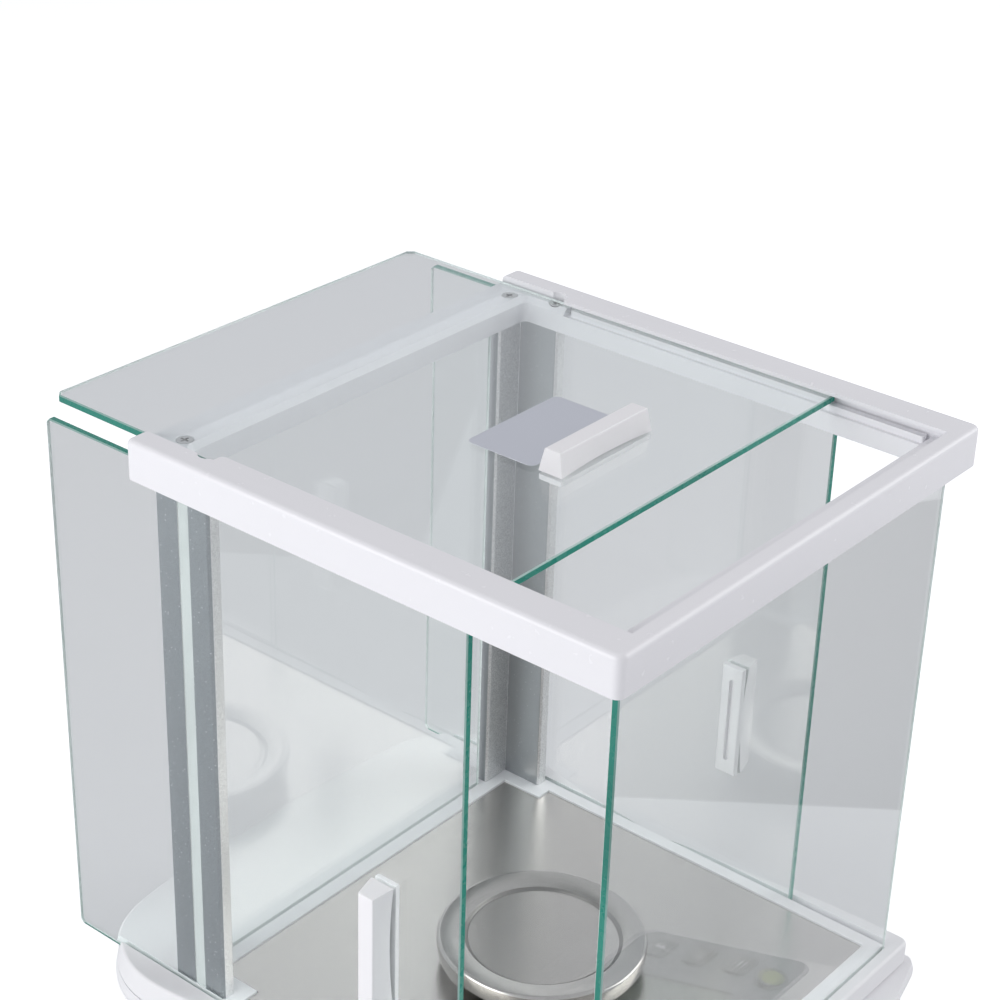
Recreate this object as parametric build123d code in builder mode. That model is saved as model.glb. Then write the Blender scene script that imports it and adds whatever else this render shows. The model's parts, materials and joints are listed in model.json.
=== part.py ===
"""Analytical balance with a sliding-door glass draught shield.

Millimetres, +Z up, standing on z = 0, with the front towards -Y. Plan positions are
measured from the pan axis and heights from the top of the stainless floor plate, so
nearly every sketch stands on a plane offset from `floor`, which carries both.
"""
import math
import os

from build123d import *

# ---------------------------------------------------------------- driving dimensions
floor_height = 94.0         # bench to the top of the stainless floor plate
door_x = 101.2              # outer face of a side door, which sets every width of the shield
front_glass_y = -98.4       # front face of the front pane
rear_glass_y = 95.5         # front face of the rear pane
frame_bottom = 215.9        # underside of the top frame, which sets every height above it
console_reach = 101.5       # the console stands forward of the housing by this
left_open = 52.6            # how far each door stands open
right_open = 44.8
roof_open = 46.6
pane_t = 3.0                # float glass of every pane
door_play = 0.3             # gap each side of a sliding pane in its groove
seat_gap = 0.15             # gap each side of a fixed pane in its groove

# weighing pan and its stem
pan_r = 40.0
pan_top = 14.3              # pan rim above the floor plate
pan_skirt = 7.3             # height of the rolled skirt
pan_sheet = 1.0
pan_rim_w = 1.0             # width of the rounded rim
pan_bulge = 0.5             # the skirt draws in by this at its foot
pan_well_in = 9.5           # width of the ring round the sunk middle
pan_ring_drop = 1.5         # fall of the ring from the rim to the well
pan_well_drop = 1.0         # step from the ring into the well
pan_hub_r = 7.0
pan_hub_h = 4.0
stem_r = 3.0
stem_tip = 3.0              # length of the tip that the pan's hub sits on
stem_fit = 0.05             # radial gap of the tip in the hub
stem_shoulder_r = 5.0
stem_shoulder_h = 5.0
stem_depth = 30.0           # foot of the stem below the floor plate
stem_play = 0.4             # gap round and under the stem in the weighing cell

# aluminium columns, inside the side doors and astride the rear pane
column_gap = 0.4            # side door to column
column_t = 6.1
column_d = 25.4
column_leg = 19.3           # reach of the rear leg along the rear pane
column_behind = 5.0         # rear pane's front face to the column's rear face
column_before = 1.8         # the rear leg starts this far in front of the rear pane
column_bevel = 1.0
strip_back = 12.8           # middle of the sealing strip, from the column's rear face
strip_w = 5.3
strip_depth = 1.2
strip_sunk = 0.3

# stainless floor plate and the collar round the stem
plate_t = 1.0
plate_gap = 0.5
plate_margin = 5.8          # column's outer face to the plate's side edge
plate_front_margin = 9.9    # front pane to the plate's front edge
plate_rear_margin = 5.2     # plate's rear edge to the column's rear leg
plate_notch_in = 6.5        # the rear corners are cut away round the column feet
plate_notch_back = 6.1
collar_bore_r = 12.0
collar_neck_r = 15.0
collar_flange_r = 18.0
collar_flange_h = 1.5
collar_gap = 0.2

# white deck that carries the shield
rim_rise = 0.7              # deck rim above the floor plate
tier_height = 9.3           # rim to seam
deck_front_border = 5.2     # front pane to the deck's front edge
deck_front_w = 6.8          # how far the deck stands outside a side door, at its front ...
deck_mid_w = 4.0            # ... and further back ...
deck_waist_w = 2.2          # ... and at the waist ...
deck_hip_w = 9.7            # ... and at the rear hips
deck_mid_back = 57.6        # front edge to the place of deck_mid_w
deck_waist_back = 50.0      # waist to hips
deck_hip_back = 44.5        # hips to the rear edge
deck_tail = 54.0            # rear pane to the rear edge
deck_corner_r = 4.0
deck_hip_r = 40.0
deck_hip_turn = 82.0        # degrees of the hip's arc, before the rear edge begins
deck_edge_r = 1.6
deck_spread = 2.0           # the sides lean out by this between rim and seam
deck_skin = 4.0             # deck thickness over its hollow underside
deck_pad = 6.0              # solid border of the underside, inside the plate's edge
groove_depth = 3.7          # foot of a pane groove below the rim

# lower housing
seam_gap = 0.7
seam_inset = 0.9            # depth of the parting seam
seam_rib = 3.0
body_step = 2.9             # the housing's front stands forward of the deck's by this
body_bow = 14.0             # forward bow of the front edge at its middle
body_wall = 2.6
body_bottom = -80.0
body_sections = (           # (below the body's top, how far it stands in)
    (0.0, 0.0), (3.2, -0.7), (5.6, -0.6), (7.6, 0.3), (9.6, 2.1), (12.0, 4.8),
    (17.0, 9.4), (22.0, 12.2), (28.0, 13.6), (70.7, 15.5),
)
bottom_t = 2.6
bottom_gap = 0.2
boss_r = 4.5
boss_in = 29.0              # bosses inside the housing's side, front and rear edges
boss_front = 24.5
boss_rear = 55.5
opening_in = 7.0            # opening under the deck, inside the bosses
opening_d = 164.0

# sloping console
console_slope = 17.0        # degrees
console_half_w = 88.5
console_corner_r = 18.0
console_edge_r = 2.5
console_skin = 5.0
console_joint = 14.8        # the console joins the body this far in front of the crest
panel_side = 3.0            # white border beside the panel ...
panel_front = 4.0           # ... and in front of it
panel_t = 2.0
panel_proud = 0.3
panel_gap = 0.2
panel_corner_r = 8.0
panel_edge_r = 0.4
panel_down = 16.0           # crest to the panel's upper edge, along the slope
window_w = 108.0
window_l = 46.0
window_down = 34.0          # crest to the window's upper edge
window_t = 1.2
window_sunk = 0.1
window_gap = 0.2
module_border = 2.0         # the display module is wider than the window by this
module_h = 6.0
aperture_gap = 1.0
key_w = 13.0
key_l = 10.0
key_corner_r = 2.5
key_rise = 1.3
key_edge_r = 0.5
key_travel = 0.6
key_play = 0.3
key_flange_t = 1.2
key_flange_w = 1.0
key_gap = 0.05              # flange to panel at rest
key_pitch = 20.6
key_side = 12.5             # middle of a column of keys to the panel's side edge
key_down = 44.2             # crest to the middle of the first key, along the slope
keys_in_column = 3
key_names = ("power", "calibrate", "unit", "print", "mode", "tare")
switch_size = 6.0
board_t = 1.6
board_border = 4.0

# bull's-eye level, upright in the sloping panel
level_r = 6.0
level_wall = 1.4
level_side = 18.0           # middle of the level to the panel's side edge
level_down = 9.0            # ... and to its upper edge
level_h = 9.0
level_floor_t = 1.5
level_proud = 0.4
level_fit = 0.15

# sliding doors
door_lap = 2.1              # a shut side door ends this far behind the column
door_bevel = 1.6
roof_lap = 2.0              # the shut roof pane ends this far behind the frame
roof_bevel = 2.5
shut_gap = 0.4              # shut side door to the front pane
roof_shut_gap = 1.5         # shut roof pane to the front bar

# bar handles and the plates behind them
handle_l = 50.8
handle_w = 10.2
handle_h = 8.8
handle_top_l = 49.0
handle_top_w = 6.7
handle_scoop = 1.5
handle_scoop_l = 49.0
handle_edge_r = 0.5
handle_z = 73.2
handle_in = 35.0            # handle centre behind a side door's front edge
roof_handle_in = 36.4
backing_l = 50.6
backing_w = 9.7
backing_t = 2.4
backing_bevel = 0.5
backing_slot_l = 38.0
backing_slot_w = 2.1
backing_slot_depth = 1.8
label_w = 50.4
label_l = 29.8
label_t = 0.15
label_gap = 2.7             # label to handle
label_corner_r = 3.0

# fixed panes
front_glass_in = 0.9        # column's outer face to the front pane's edge
rear_glass_in = 2.6         # end of the column's rear leg to the rear pane's edge
pane_into_frame = 6.0

# white top frame
frame_wall = 5.0            # side door's outer face to the frame's
frame_brow = 6.5            # the frame's front stands forward of the front pane by this
frame_tail = 7.3            # column to the frame's rear ends
frame_front_r = 3.5
frame_rear_r = 2.5
frame_edge_r = 2.0
bar_lap = 0.1               # front pane to the rear edge of the front bar's top
bar_inner = 6.9             # front pane to the front bar's inner face
lip_t = 1.6
lip_over = 3.0              # the lip reaches this far over the roof pane
lip_end_r = 1.8
runway_in = 4.6             # side door's outer face to the runway's side wall
runway_flare = 0.2
runway_play = 1.0           # roof pane to the runway's side wall
shelf_rise = 7.5            # frame underside to the shelves
shelf_back = 2.1            # the shelves end before the lips
rest_rise = 10.2            # frame underside to the corners and crossbar under the pane
rest_gap = 0.1
lip_gap = 0.4
inner_in = 0.6              # column's inner face to the frame's inner wall
crossbar_before = 4.2       # crossbar's front edge to the rear pane
crossbar_bevel = 2.2
inner_corner_r = 2.5
door_into_frame = 5.9
glide_in = 2.4              # runway's side wall to the middle of a glide
glide_w = 3.0
glide_end = 2.0             # glide to each end of its shelf

# screws
screw_r = 1.5
screw_gap = 0.1
frame_screw_head_r = 3.3
frame_screw_head_h = 1.9
frame_screw_sunk = 0.1
frame_screw_l = 20.0
cross_w = 0.9
cross_l = 3.6
cross_depth = 1.0
scallop_r = 3.7
leg_screw_in = 9.5          # screw in the rear leg, from the column's outer face
side_screw_in = 2.9         # screw in the side leg, from the column's outer face
screw_back = 3.4            # both screws, from the front face of their leg
pan_head_r = 2.8
pan_head_h = 2.2
column_screw_l = 18.0
base_screw_l = 12.0

# feet
front_foot_in = 13.0        # front feet inside the console's sides ...
front_foot_back = 26.0      # ... and behind its front
pad_r = 10.5
pad_t = 4.0
pad_edge_r = 1.0
stud_r = 4.0
stud_fit = 0.05
stud_head_r = 9.0
stud_head_h = 2.0
stud_l = 26.0
wheel_r = 15.0
wheel_t = 6.5
wheel_flutes = 20
wheel_flute_r = 1.6
foot_boss_r = 8.0
foot_boss_h = 18.0
rear_foot_in = 32.0         # rear feet inside the housing's sides and its rear edge
rear_foot_before = 39.5
rear_foot_r = 11.0
rear_foot_top_r = 12.5

# weighing cell and electronics
cell_half_w = 30.0
cell_half_l = 44.0
cell_top = -18.0
cell_slot = 3.0
plinth_top = -61.0
plinth_border = 4.0
plinth_pocket_r = 17.0
hook_port_r = 12.0
hook_r = 2.0
hook_eye_r = 5.0
hook_eye_wire = 1.2
hook_drop = 4.0
magnet_r = 22.0
magnet_h = 28.0
magnet_gap = 3.0
coil_r = 9.0
beam_w = 14.0
beam_t = 5.0
main_board_half_w = 60.0
main_board_before = 49.5    # main board's front edge to the deck's rear edge
main_board_l = 27.0
main_board_lift = 6.0
standoff_r = 3.0

# rear panel and sockets
port_plate_half_w = 62.0
port_plate_h = 26.0
port_plate_z = -71.0        # lower edge
port_plate_t = 2.0
port_plate_before = 17.5    # outer face to the deck's rear edge
port_ledge = 2.0
inlet_x = -45.0
inlet_z = -58.0
inlet_w = 11.0
inlet_h = 11.0
inlet_depth = 12.0
inlet_bore_r = 2.9
inlet_bore_l = 9.0
inlet_pin_r = 1.0
inlet_flange = 1.5
inlet_flange_t = 1.2
data_x = 30.0
data_z = -58.0
data_flange_w = 31.0
data_flange_h = 12.5
data_shell_w = 16.9
data_shell_h = 8.3
data_shell_l = 5.8
data_depth = 9.0
data_pin_r = 0.6
data_pin_pitch = 2.76
data_row_pitch = 2.84
jack_pitch = 25.0
jack_r = 2.6
jack_l = 4.5

# ---------------------------------------------------------------- worked-out places
# widths, from the side doors inwards and outwards
column_x = door_x - pane_t - column_gap
column_inner_x = column_x - column_t
column_leg_x = column_x - column_leg
frame_half_w = door_x + frame_wall
runway_x = door_x - runway_in
runway_rear_x = runway_x + runway_flare
roof_half_w = runway_x - runway_play
lip_x = roof_half_w - lip_over
inner_wall_x = column_inner_x - inner_in
glide_x = runway_x - glide_in
front_glass_half_w = column_x - front_glass_in
rear_glass_half_w = column_leg_x - rear_glass_in
plate_half_w = column_x - plate_margin
plate_notch_x = column_inner_x - plate_notch_in
deck_front_half_w = door_x + deck_front_w
deck_mid_half_w = door_x + deck_mid_w
deck_waist_half_w = door_x + deck_waist_w
deck_hip_half_w = door_x + deck_hip_w
body_front_half_w = deck_front_half_w + deck_spread
boss_x = body_front_half_w - boss_in
flange_opening_x = boss_x - opening_in
rear_foot_x = body_front_half_w - rear_foot_in
front_foot_x = console_half_w - front_foot_in

# depths, from the front pane and the rear pane
column_rear_y = rear_glass_y + column_behind
column_front_y = column_rear_y - column_d
column_leg_y = rear_glass_y - column_before
strip_y = column_rear_y - strip_back
plate_front_y = front_glass_y + plate_front_margin
plate_rear_y = column_leg_y - plate_rear_margin
plate_notch_y = column_front_y - plate_notch_back
frame_front_y = front_glass_y - frame_brow
frame_rear_y = column_rear_y + frame_tail
bar_top_y = front_glass_y - bar_lap
bar_inner_y = front_glass_y + bar_inner
lip_end_y = column_front_y - column_bevel
shelf_end_y = lip_end_y - shelf_back
crossbar_y = rear_glass_y - crossbar_before
deck_front_y = front_glass_y - deck_front_border
deck_rear_y = rear_glass_y + deck_tail
deck_hip_y = deck_rear_y - deck_hip_back
deck_waist_y = deck_hip_y - deck_waist_back
deck_mid_y = deck_front_y + deck_mid_back
body_front_y = deck_front_y - body_step
console_front_y = body_front_y - console_reach
front_foot_y = console_front_y + front_foot_back
rear_foot_y = deck_rear_y - rear_foot_before
main_board_y = deck_rear_y - main_board_before
port_plate_y = deck_rear_y - port_plate_before
boss_places = [
    (side * boss_x, y)
    for side in (-1, 1)
    for y in (body_front_y + boss_front, deck_rear_y - boss_rear)
]
corner_screws = (
    (column_x - leg_screw_in, column_leg_y + screw_back),
    (column_x - side_screw_in, column_front_y + screw_back),
)
door_shut_y = front_glass_y + pane_t + shut_gap
door_length = column_rear_y + door_lap - door_shut_y
left_door_y = door_shut_y + left_open
right_door_y = door_shut_y + right_open
roof_shut_y = bar_top_y + roof_shut_gap
roof_length = frame_rear_y + roof_lap - roof_shut_y
roof_y = roof_shut_y + roof_open
pan_axis_y = -(console_front_y + roof_y + roof_length) / 2  # behind the middle of the depth

# heights, from the floor plate
shelf_z = frame_bottom + shelf_rise
rest_z = frame_bottom + rest_rise
roof_under = rest_z + rest_gap
frame_top = roof_under + pane_t + lip_gap + lip_t
door_top = frame_bottom + door_into_frame
pane_top = frame_bottom + pane_into_frame
groove_z = rim_rise - groove_depth
door_bottom = groove_z + door_play
door_in = door_x - pane_t - door_play
door_out = door_x + door_play
seam_z = rim_rise - tier_height
body_top = seam_z - seam_gap
bench_z = -floor_height
plate_top = body_bottom + bottom_t
cell_bottom = plinth_top
pan_well_r = pan_r - pan_well_in
pan_well = pan_top - pan_ring_drop - pan_well_drop
stem_shoulder_z = pan_well - pan_sheet - pan_hub_h

# planes
floor = Plane(origin=(0, pan_axis_y, floor_height))
elevation = Plane(origin=floor.origin, x_dir=(1, 0, 0), z_dir=(0, -1, 0))
slope = math.radians(console_slope)
crest = Plane(
    origin=(0, pan_axis_y + body_front_y, floor_height + body_top),
    x_dir=(1, 0, 0),
    z_dir=(0, -math.sin(slope), math.cos(slope)),
)
panel_w = 2 * (console_half_w - panel_side)
panel_l = console_reach / math.cos(slope) - panel_down - panel_front
panel_plane = Plane(
    origin=crest.from_local_coords((0, -(panel_down + panel_l / 2), 0)),
    x_dir=(1, 0, 0),
    z_dir=crest.z_dir,
)
panel_under = panel_proud - panel_t
window_up = panel_down + panel_l / 2 - window_down - window_l / 2
flange_top = panel_under - key_gap
key_up = panel_down + panel_l / 2 - key_down - (keys_in_column - 1) / 2 * key_pitch
key_columns = [(side * (panel_w / 2 - key_side), key_up) for side in (-1, 1)]
key_places = [
    (x, y + ((keys_in_column - 1) / 2 - row) * key_pitch)
    for x, y in key_columns
    for row in range(keys_in_column)
]
key_slot_w = key_w + 2 * (key_flange_w + aperture_gap)
key_slot_l = (keys_in_column - 1) * key_pitch + key_l + 2 * (key_flange_w + aperture_gap)
level_x = panel_w / 2 - level_side
level_up = panel_l / 2 - level_down
level_point = panel_plane.from_local_coords((level_x, level_up, panel_proud))
level_plane = Plane(origin=level_point).offset(level_r * math.tan(slope) + level_proud)

os.makedirs("parts", exist_ok=True)


def save(piece, name):
    """Label a finished piece and write it as one STEP file."""
    piece.part.label = name
    export_step(piece.part, f"parts/{name}.step")


def block(plane, x0, x1, y0, y1, depth, mode=Mode.ADD):
    """A block between two x and two y values of a plane, rising from it by depth."""
    with BuildSketch(plane) as face:
        with Locations(((x0 + x1) / 2, (y0 + y1) / 2)):
            Rectangle(x1 - x0, y1 - y0)
    extrude(face.sketch, amount=depth, mode=mode)


def even_block(plane, half_w, y0, y1, depth, mode=Mode.ADD):
    """A block that reaches equally far to both sides of the middle plane."""
    block(plane, -half_w, half_w, y0, y1, depth, mode)


def rod(plane, places, radius, depth, mode=Mode.ADD):
    """Round rods, or holes, that rise by depth from a plane at each place."""
    with BuildSketch(plane) as face:
        with Locations(*places):
            Circle(radius)
    extrude(face.sketch, amount=depth, mode=mode)


def plane_off(plane, back):
    """Remove everything above a plane, forwards of its line y = back."""
    with BuildSketch(plane) as face:
        with Locations((0, back + console_front_y)):
            Rectangle(4 * console_half_w, -2 * console_front_y)
    extrude(face.sketch, amount=floor_height, mode=Mode.SUBTRACT)


def rounded(plane, centre, width, length, corner_r, depth, mode=Mode.ADD):
    """A block with rounded corners, centred on a point of a plane, rising by depth."""
    with BuildSketch(plane) as face:
        with Locations(centre):
            RectangleRounded(width, length, corner_r)
    extrude(face.sketch, amount=depth, mode=mode)


def both_sides(places):
    """The given plan places and their mirror images in the middle plane."""
    return [(side * x, y) for side in (-1, 1) for x, y in places]


def base_outline(corner_w, front_y, spread, bow=0.0):
    """Plan of the base: square front corners, a waist, and two round rear hips.

    spread moves the waist, the hips and the rear edge out; bow curves the front edge
    forward at its middle.
    """
    corner_y = front_y + deck_corner_r
    hip_x = deck_hip_half_w + spread
    with BuildSketch() as outline:
        with BuildLine():
            if bow:
                front = TangentArc(
                    (0, front_y - bow), (corner_w - deck_corner_r, front_y), tangent=(1, 0)
                )
            else:
                front = Line((0, front_y), (corner_w - deck_corner_r, front_y))
            TangentArc(front @ 1, (corner_w, corner_y), tangent=front % 1)
            Spline(
                (corner_w, corner_y),
                (deck_mid_half_w + spread, deck_mid_y),
                (deck_waist_half_w + spread, deck_waist_y),
                (hip_x, deck_hip_y),
                tangents=((0, 1), (0, 1)),
            )
            hip = JernArc(
                start=(hip_x, deck_hip_y),
                tangent=(0, 1),
                radius=deck_hip_r + spread,
                arc_size=deck_hip_turn,
            )
            TangentArc(hip @ 1, (0, deck_rear_y + spread), tangent=hip % 1)
            mirror(about=Plane.YZ)
        make_face()
    return outline.sketch


def body_outline(inset):
    """Plan of the lower housing, stood in by inset all round."""
    return base_outline(
        body_front_half_w - inset, body_front_y + inset, deck_spread - inset, body_bow
    )


def console_outline(inset):
    """Plan of the console block, which runs back into the housing."""
    with BuildSketch() as outline:
        with Locations((0, console_front_y / 2 + inset / 2)):
            Rectangle(2 * (console_half_w - inset), -console_front_y - inset)
        fillet(outline.vertices().group_by(Axis.Y)[0], console_corner_r - inset)
    return outline.sketch


# ---------------------------------------------------------------- white deck
with BuildPart() as upper_shell:
    with BuildSketch(floor.offset(seam_z)):
        add(base_outline(deck_front_half_w, deck_front_y, deck_spread))
    with BuildSketch(floor.offset(rim_rise)):
        add(base_outline(deck_front_half_w, deck_front_y, 0.0))
    loft()
    fillet(upper_shell.faces().sort_by(Axis.Z)[-1].outer_wire().edges(), deck_edge_r)
    # pocket for the floor plate, narrower behind, between the column feet
    pocket = floor.offset(-plate_t)
    even_block(pocket, plate_half_w + plate_gap, plate_front_y - plate_gap,
               plate_notch_y + plate_gap, plate_t + rim_rise, Mode.SUBTRACT)
    even_block(pocket, plate_notch_x + plate_gap, 0, plate_rear_y + plate_gap,
               plate_t + rim_rise, Mode.SUBTRACT)
    # grooves: the side doors' run out through the rear, the fixed panes' are closed
    groove = floor.offset(groove_z)
    front_groove_end = front_glass_y + pane_t + seat_gap
    for side in (-1, 1):
        inner, outer = sorted((side * door_in, side * door_out))
        block(groove, inner, outer, front_groove_end, 2 * deck_rear_y, groove_depth, Mode.SUBTRACT)
    even_block(groove, front_glass_half_w + seat_gap, front_glass_y - seat_gap,
               front_groove_end, groove_depth, Mode.SUBTRACT)
    even_block(groove, rear_glass_half_w + seat_gap, rear_glass_y - seat_gap,
               rear_glass_y + pane_t + seat_gap, groove_depth, Mode.SUBTRACT)
    # hollow underside, the collar's hole and the column screws' counterbored holes
    underside = floor.offset(seam_z)
    hollow = -plate_t - deck_skin - seam_z
    even_block(underside, plate_notch_x - deck_pad, plate_front_y + deck_pad,
               plate_notch_y - deck_pad, hollow, Mode.SUBTRACT)
    rod(underside, [(0, 0)], collar_neck_r + collar_gap, tier_height, Mode.SUBTRACT)
    rod(underside, both_sides(corner_screws), screw_r + screw_gap, tier_height, Mode.SUBTRACT)
    rod(underside, both_sides(corner_screws), pan_head_r + screw_gap, pan_head_h + screw_gap,
        Mode.SUBTRACT)
save(upper_shell, "upper_shell")

# ---------------------------------------------------------------- lower housing
with BuildPart() as body_form:
    for below, inset in body_sections:
        with BuildSketch(floor.offset(body_top - below)):
            add(body_outline(inset))
    loft(ruled=True)

with BuildPart() as body_hollow:
    for below, inset in body_sections:
        with BuildSketch(floor.offset(body_top - below)):
            add(body_outline(inset + body_wall))
    loft(ruled=True)
    plane_off(floor.offset(body_top - body_wall), -console_front_y)
    plane_off(crest.offset(-console_skin), 0)

with BuildPart() as console_hollow:
    with BuildSketch(floor.offset(body_bottom)):
        add(console_outline(body_wall))
    extrude(amount=body_top - body_wall - body_bottom)
    plane_off(crest.offset(-console_skin), 0)

with BuildPart() as console_form:
    with BuildSketch(floor.offset(body_bottom)):
        add(console_outline(0.0))
    extrude(amount=body_top - body_bottom)
    plane_off(crest, 0)
    slope_edges = console_form.faces().filter_by(Axis(crest.origin, crest.z_dir)).edges()
    fillet(slope_edges.sort_by(Axis.Y)[:-1], console_edge_r)

with BuildPart() as lower_shell:
    add(body_form.part)
    plane_off(crest, 0)
    add(console_form.part)
    add(body_hollow.part, mode=Mode.SUBTRACT)
    add(console_hollow.part, mode=Mode.SUBTRACT)
    # opening under the deck, and the rib that carries it inside the parting seam
    lid = floor.offset(body_top - body_wall)
    even_block(lid, flange_opening_x, -opening_d / 2, opening_d / 2, body_wall, Mode.SUBTRACT)
    with BuildSketch(floor.offset(body_top)):
        add(base_outline(deck_front_half_w - seam_inset, deck_front_y + seam_inset,
                         deck_spread - seam_inset))
        rib_in = seam_inset + seam_rib
        add(base_outline(deck_front_half_w - rib_in, deck_front_y + rib_in,
                         deck_spread - rib_in), mode=Mode.SUBTRACT)
    extrude(amount=seam_gap)
    # bosses for the bottom plate's screws
    rod(floor.offset(plate_top), boss_places, boss_r, body_top - body_wall - plate_top)
    rod(floor.offset(plate_top), boss_places, screw_r + screw_gap, base_screw_l, Mode.SUBTRACT)
    # thick patch of the rear wall, and the recess of the socket plate in it
    patch = floor.offset(port_plate_z - port_ledge)
    patch_h = port_plate_h + 2 * port_ledge
    patch_w = port_plate_half_w + port_ledge
    patch_y = port_plate_y - port_plate_t
    even_block(patch, patch_w, patch_y - port_ledge, port_plate_y + port_ledge, patch_h)
    recess = floor.offset(port_plate_z)
    even_block(recess, port_plate_half_w + panel_gap, patch_y, deck_rear_y + deck_spread,
               port_plate_h, Mode.SUBTRACT)
    even_block(recess.offset(port_ledge), port_plate_half_w - port_ledge, patch_y - 2 * port_ledge,
               patch_y, port_plate_h - 2 * port_ledge, Mode.SUBTRACT)
    # pocket and apertures of the control panel
    rounded(panel_plane.offset(panel_under), (0, 0), panel_w + 2 * panel_gap,
            panel_l + 2 * panel_gap, panel_corner_r + panel_gap, panel_t, Mode.SUBTRACT)
    through = panel_plane.offset(-2 * console_skin)
    module_w = window_w + 2 * module_border
    module_l = window_l + 2 * module_border
    rounded(through, (0, window_up), module_w + 2 * aperture_gap, module_l + aperture_gap,
            aperture_gap, 2 * console_skin, Mode.SUBTRACT)
    for column in key_columns:
        rounded(through, column, key_slot_w, key_slot_l, aperture_gap, 2 * console_skin,
                Mode.SUBTRACT)
    rod(level_plane.offset(-2 * level_h), [(0, 0)], level_r + level_fit, 3 * level_h,
        Mode.SUBTRACT)

joint_plane = Plane(
    origin=floor.from_local_coords((0, body_front_y - console_joint, 0)), z_dir=(0, 1, 0)
)
with BuildPart() as console_shell:
    add(lower_shell.part)
    split(bisect_by=joint_plane, keep=Keep.BOTTOM)
save(console_shell, "console_shell")

with BuildPart() as body_shell:
    add(lower_shell.part)
    split(bisect_by=joint_plane, keep=Keep.TOP)
save(body_shell, "body_shell")

with BuildPart() as bottom_plate:
    with BuildSketch(floor.offset(body_bottom)):
        add(body_outline(body_sections[-1][1] + body_wall + bottom_gap))
        add(console_outline(body_wall + bottom_gap))
    extrude(amount=bottom_t)
    plinth_half_w = cell_half_w + plinth_border
    plinth_h = plinth_top - plate_top
    magnet_y = cell_half_l + magnet_gap + magnet_r
    even_block(floor.offset(plate_top), plinth_half_w, -cell_half_l - plinth_border,
               magnet_y + magnet_r, plinth_h)
    rod(floor.offset(plate_top), [(0, 0)], plinth_pocket_r, plinth_h, Mode.SUBTRACT)
    rod(floor.offset(body_bottom), [(0, 0)], hook_port_r, bottom_t, Mode.SUBTRACT)
    rod(floor.offset(body_bottom), boss_places, screw_r + screw_gap, bottom_t, Mode.SUBTRACT)
    # bosses of the levelling studs, and standoffs of the main board
    front_feet = both_sides([(front_foot_x, front_foot_y)])
    rod(floor.offset(body_bottom), front_feet, foot_boss_r, foot_boss_h)
    rod(floor.offset(body_bottom), front_feet, stud_r + stud_fit, foot_boss_h, Mode.SUBTRACT)
    board_y = main_board_y + main_board_l / 2
    with BuildSketch(floor.offset(plate_top)):
        with Locations((0, board_y)):
            with GridLocations(2 * main_board_half_w - 4 * standoff_r,
                               main_board_l - 3 * standoff_r, 2, 2):
                Circle(standoff_r)
    extrude(amount=main_board_lift)
save(bottom_plate, "bottom_plate")

with BuildPart() as bottom_screws:
    rod(floor.offset(body_bottom - pan_head_h), boss_places, pan_head_r, pan_head_h)
    rod(floor.offset(body_bottom), boss_places, screw_r, base_screw_l)
save(bottom_screws, "bottom_screws")

with BuildPart() as rear_feet:
    for side in (-1, 1):
        with BuildSketch(floor.offset(bench_z)):
            with Locations((side * rear_foot_x, rear_foot_y)):
                Circle(rear_foot_r)
        with BuildSketch(floor.offset(body_bottom)):
            with Locations((side * rear_foot_x, rear_foot_y)):
                Circle(rear_foot_top_r)
        loft()
    fillet(rear_feet.edges().group_by(Axis.Z)[0], pad_edge_r)
save(rear_feet, "rear_feet")

# ---------------------------------------------------------------- floor plate and collar
with BuildPart() as floor_plate:
    sheet = floor.offset(-plate_t)
    even_block(sheet, plate_half_w, plate_front_y, plate_notch_y, plate_t)
    even_block(sheet, plate_notch_x, 0, plate_rear_y, plate_t)
    rod(sheet, [(0, 0)], collar_neck_r + collar_gap, plate_t, Mode.SUBTRACT)
save(floor_plate, "floor_plate")

with BuildPart() as pan_collar:
    neck_h = plate_t + deck_skin
    rod(floor.offset(-neck_h), [(0, 0)], collar_neck_r, neck_h)
    rod(floor, [(0, 0)], collar_flange_r, collar_flange_h)
    rod(floor.offset(-neck_h), [(0, 0)], collar_bore_r, neck_h + collar_flange_h, Mode.SUBTRACT)
save(pan_collar, "pan_collar")

# ---------------------------------------------------------------- pan and stem
with BuildPart() as pan:
    with BuildSketch(elevation):
        ring_low = pan_top - pan_ring_drop
        skirt_foot = pan_top - pan_skirt
        foot_r = pan_r - pan_bulge
        Polygon(
            (0, pan_well),
            (pan_well_r - pan_well_drop, pan_well),
            (pan_well_r, ring_low),
            (pan_r - pan_rim_w, pan_top),
            (pan_r, pan_top - pan_rim_w),
            (pan_r, pan_top - pan_skirt / 2),
            (foot_r, skirt_foot),
            (foot_r - pan_sheet, skirt_foot),
            (pan_r - pan_sheet, pan_top - pan_skirt / 2),
            (pan_r - pan_sheet, pan_top - pan_rim_w - pan_sheet),
            (pan_well_r, ring_low - pan_sheet),
            (pan_well_r - pan_well_drop, pan_well - pan_sheet),
            (pan_hub_r, pan_well - pan_sheet),
            (pan_hub_r, stem_shoulder_z),
            (stem_r + stem_fit, stem_shoulder_z),
            (stem_r + stem_fit, stem_shoulder_z + stem_tip + stem_fit),
            (0, stem_shoulder_z + stem_tip + stem_fit),
            align=None,
        )
    revolve(axis=Axis(elevation.origin, (0, 0, 1)))
    crown = pan.edges().filter_by(GeomType.CIRCLE).filter_by(lambda edge: edge.radius > pan_well_r - 5)
    fillet(crown.group_by(Axis.Z)[-1], pan_rim_w / 2)
save(pan, "pan")

with BuildPart() as pan_stem:
    rod(floor.offset(-stem_depth), [(0, 0)], stem_r, stem_depth + stem_shoulder_z + stem_tip)
    rod(floor.offset(stem_shoulder_z - stem_shoulder_h), [(0, 0)], stem_shoulder_r, stem_shoulder_h)
save(pan_stem, "pan_stem")

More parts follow.
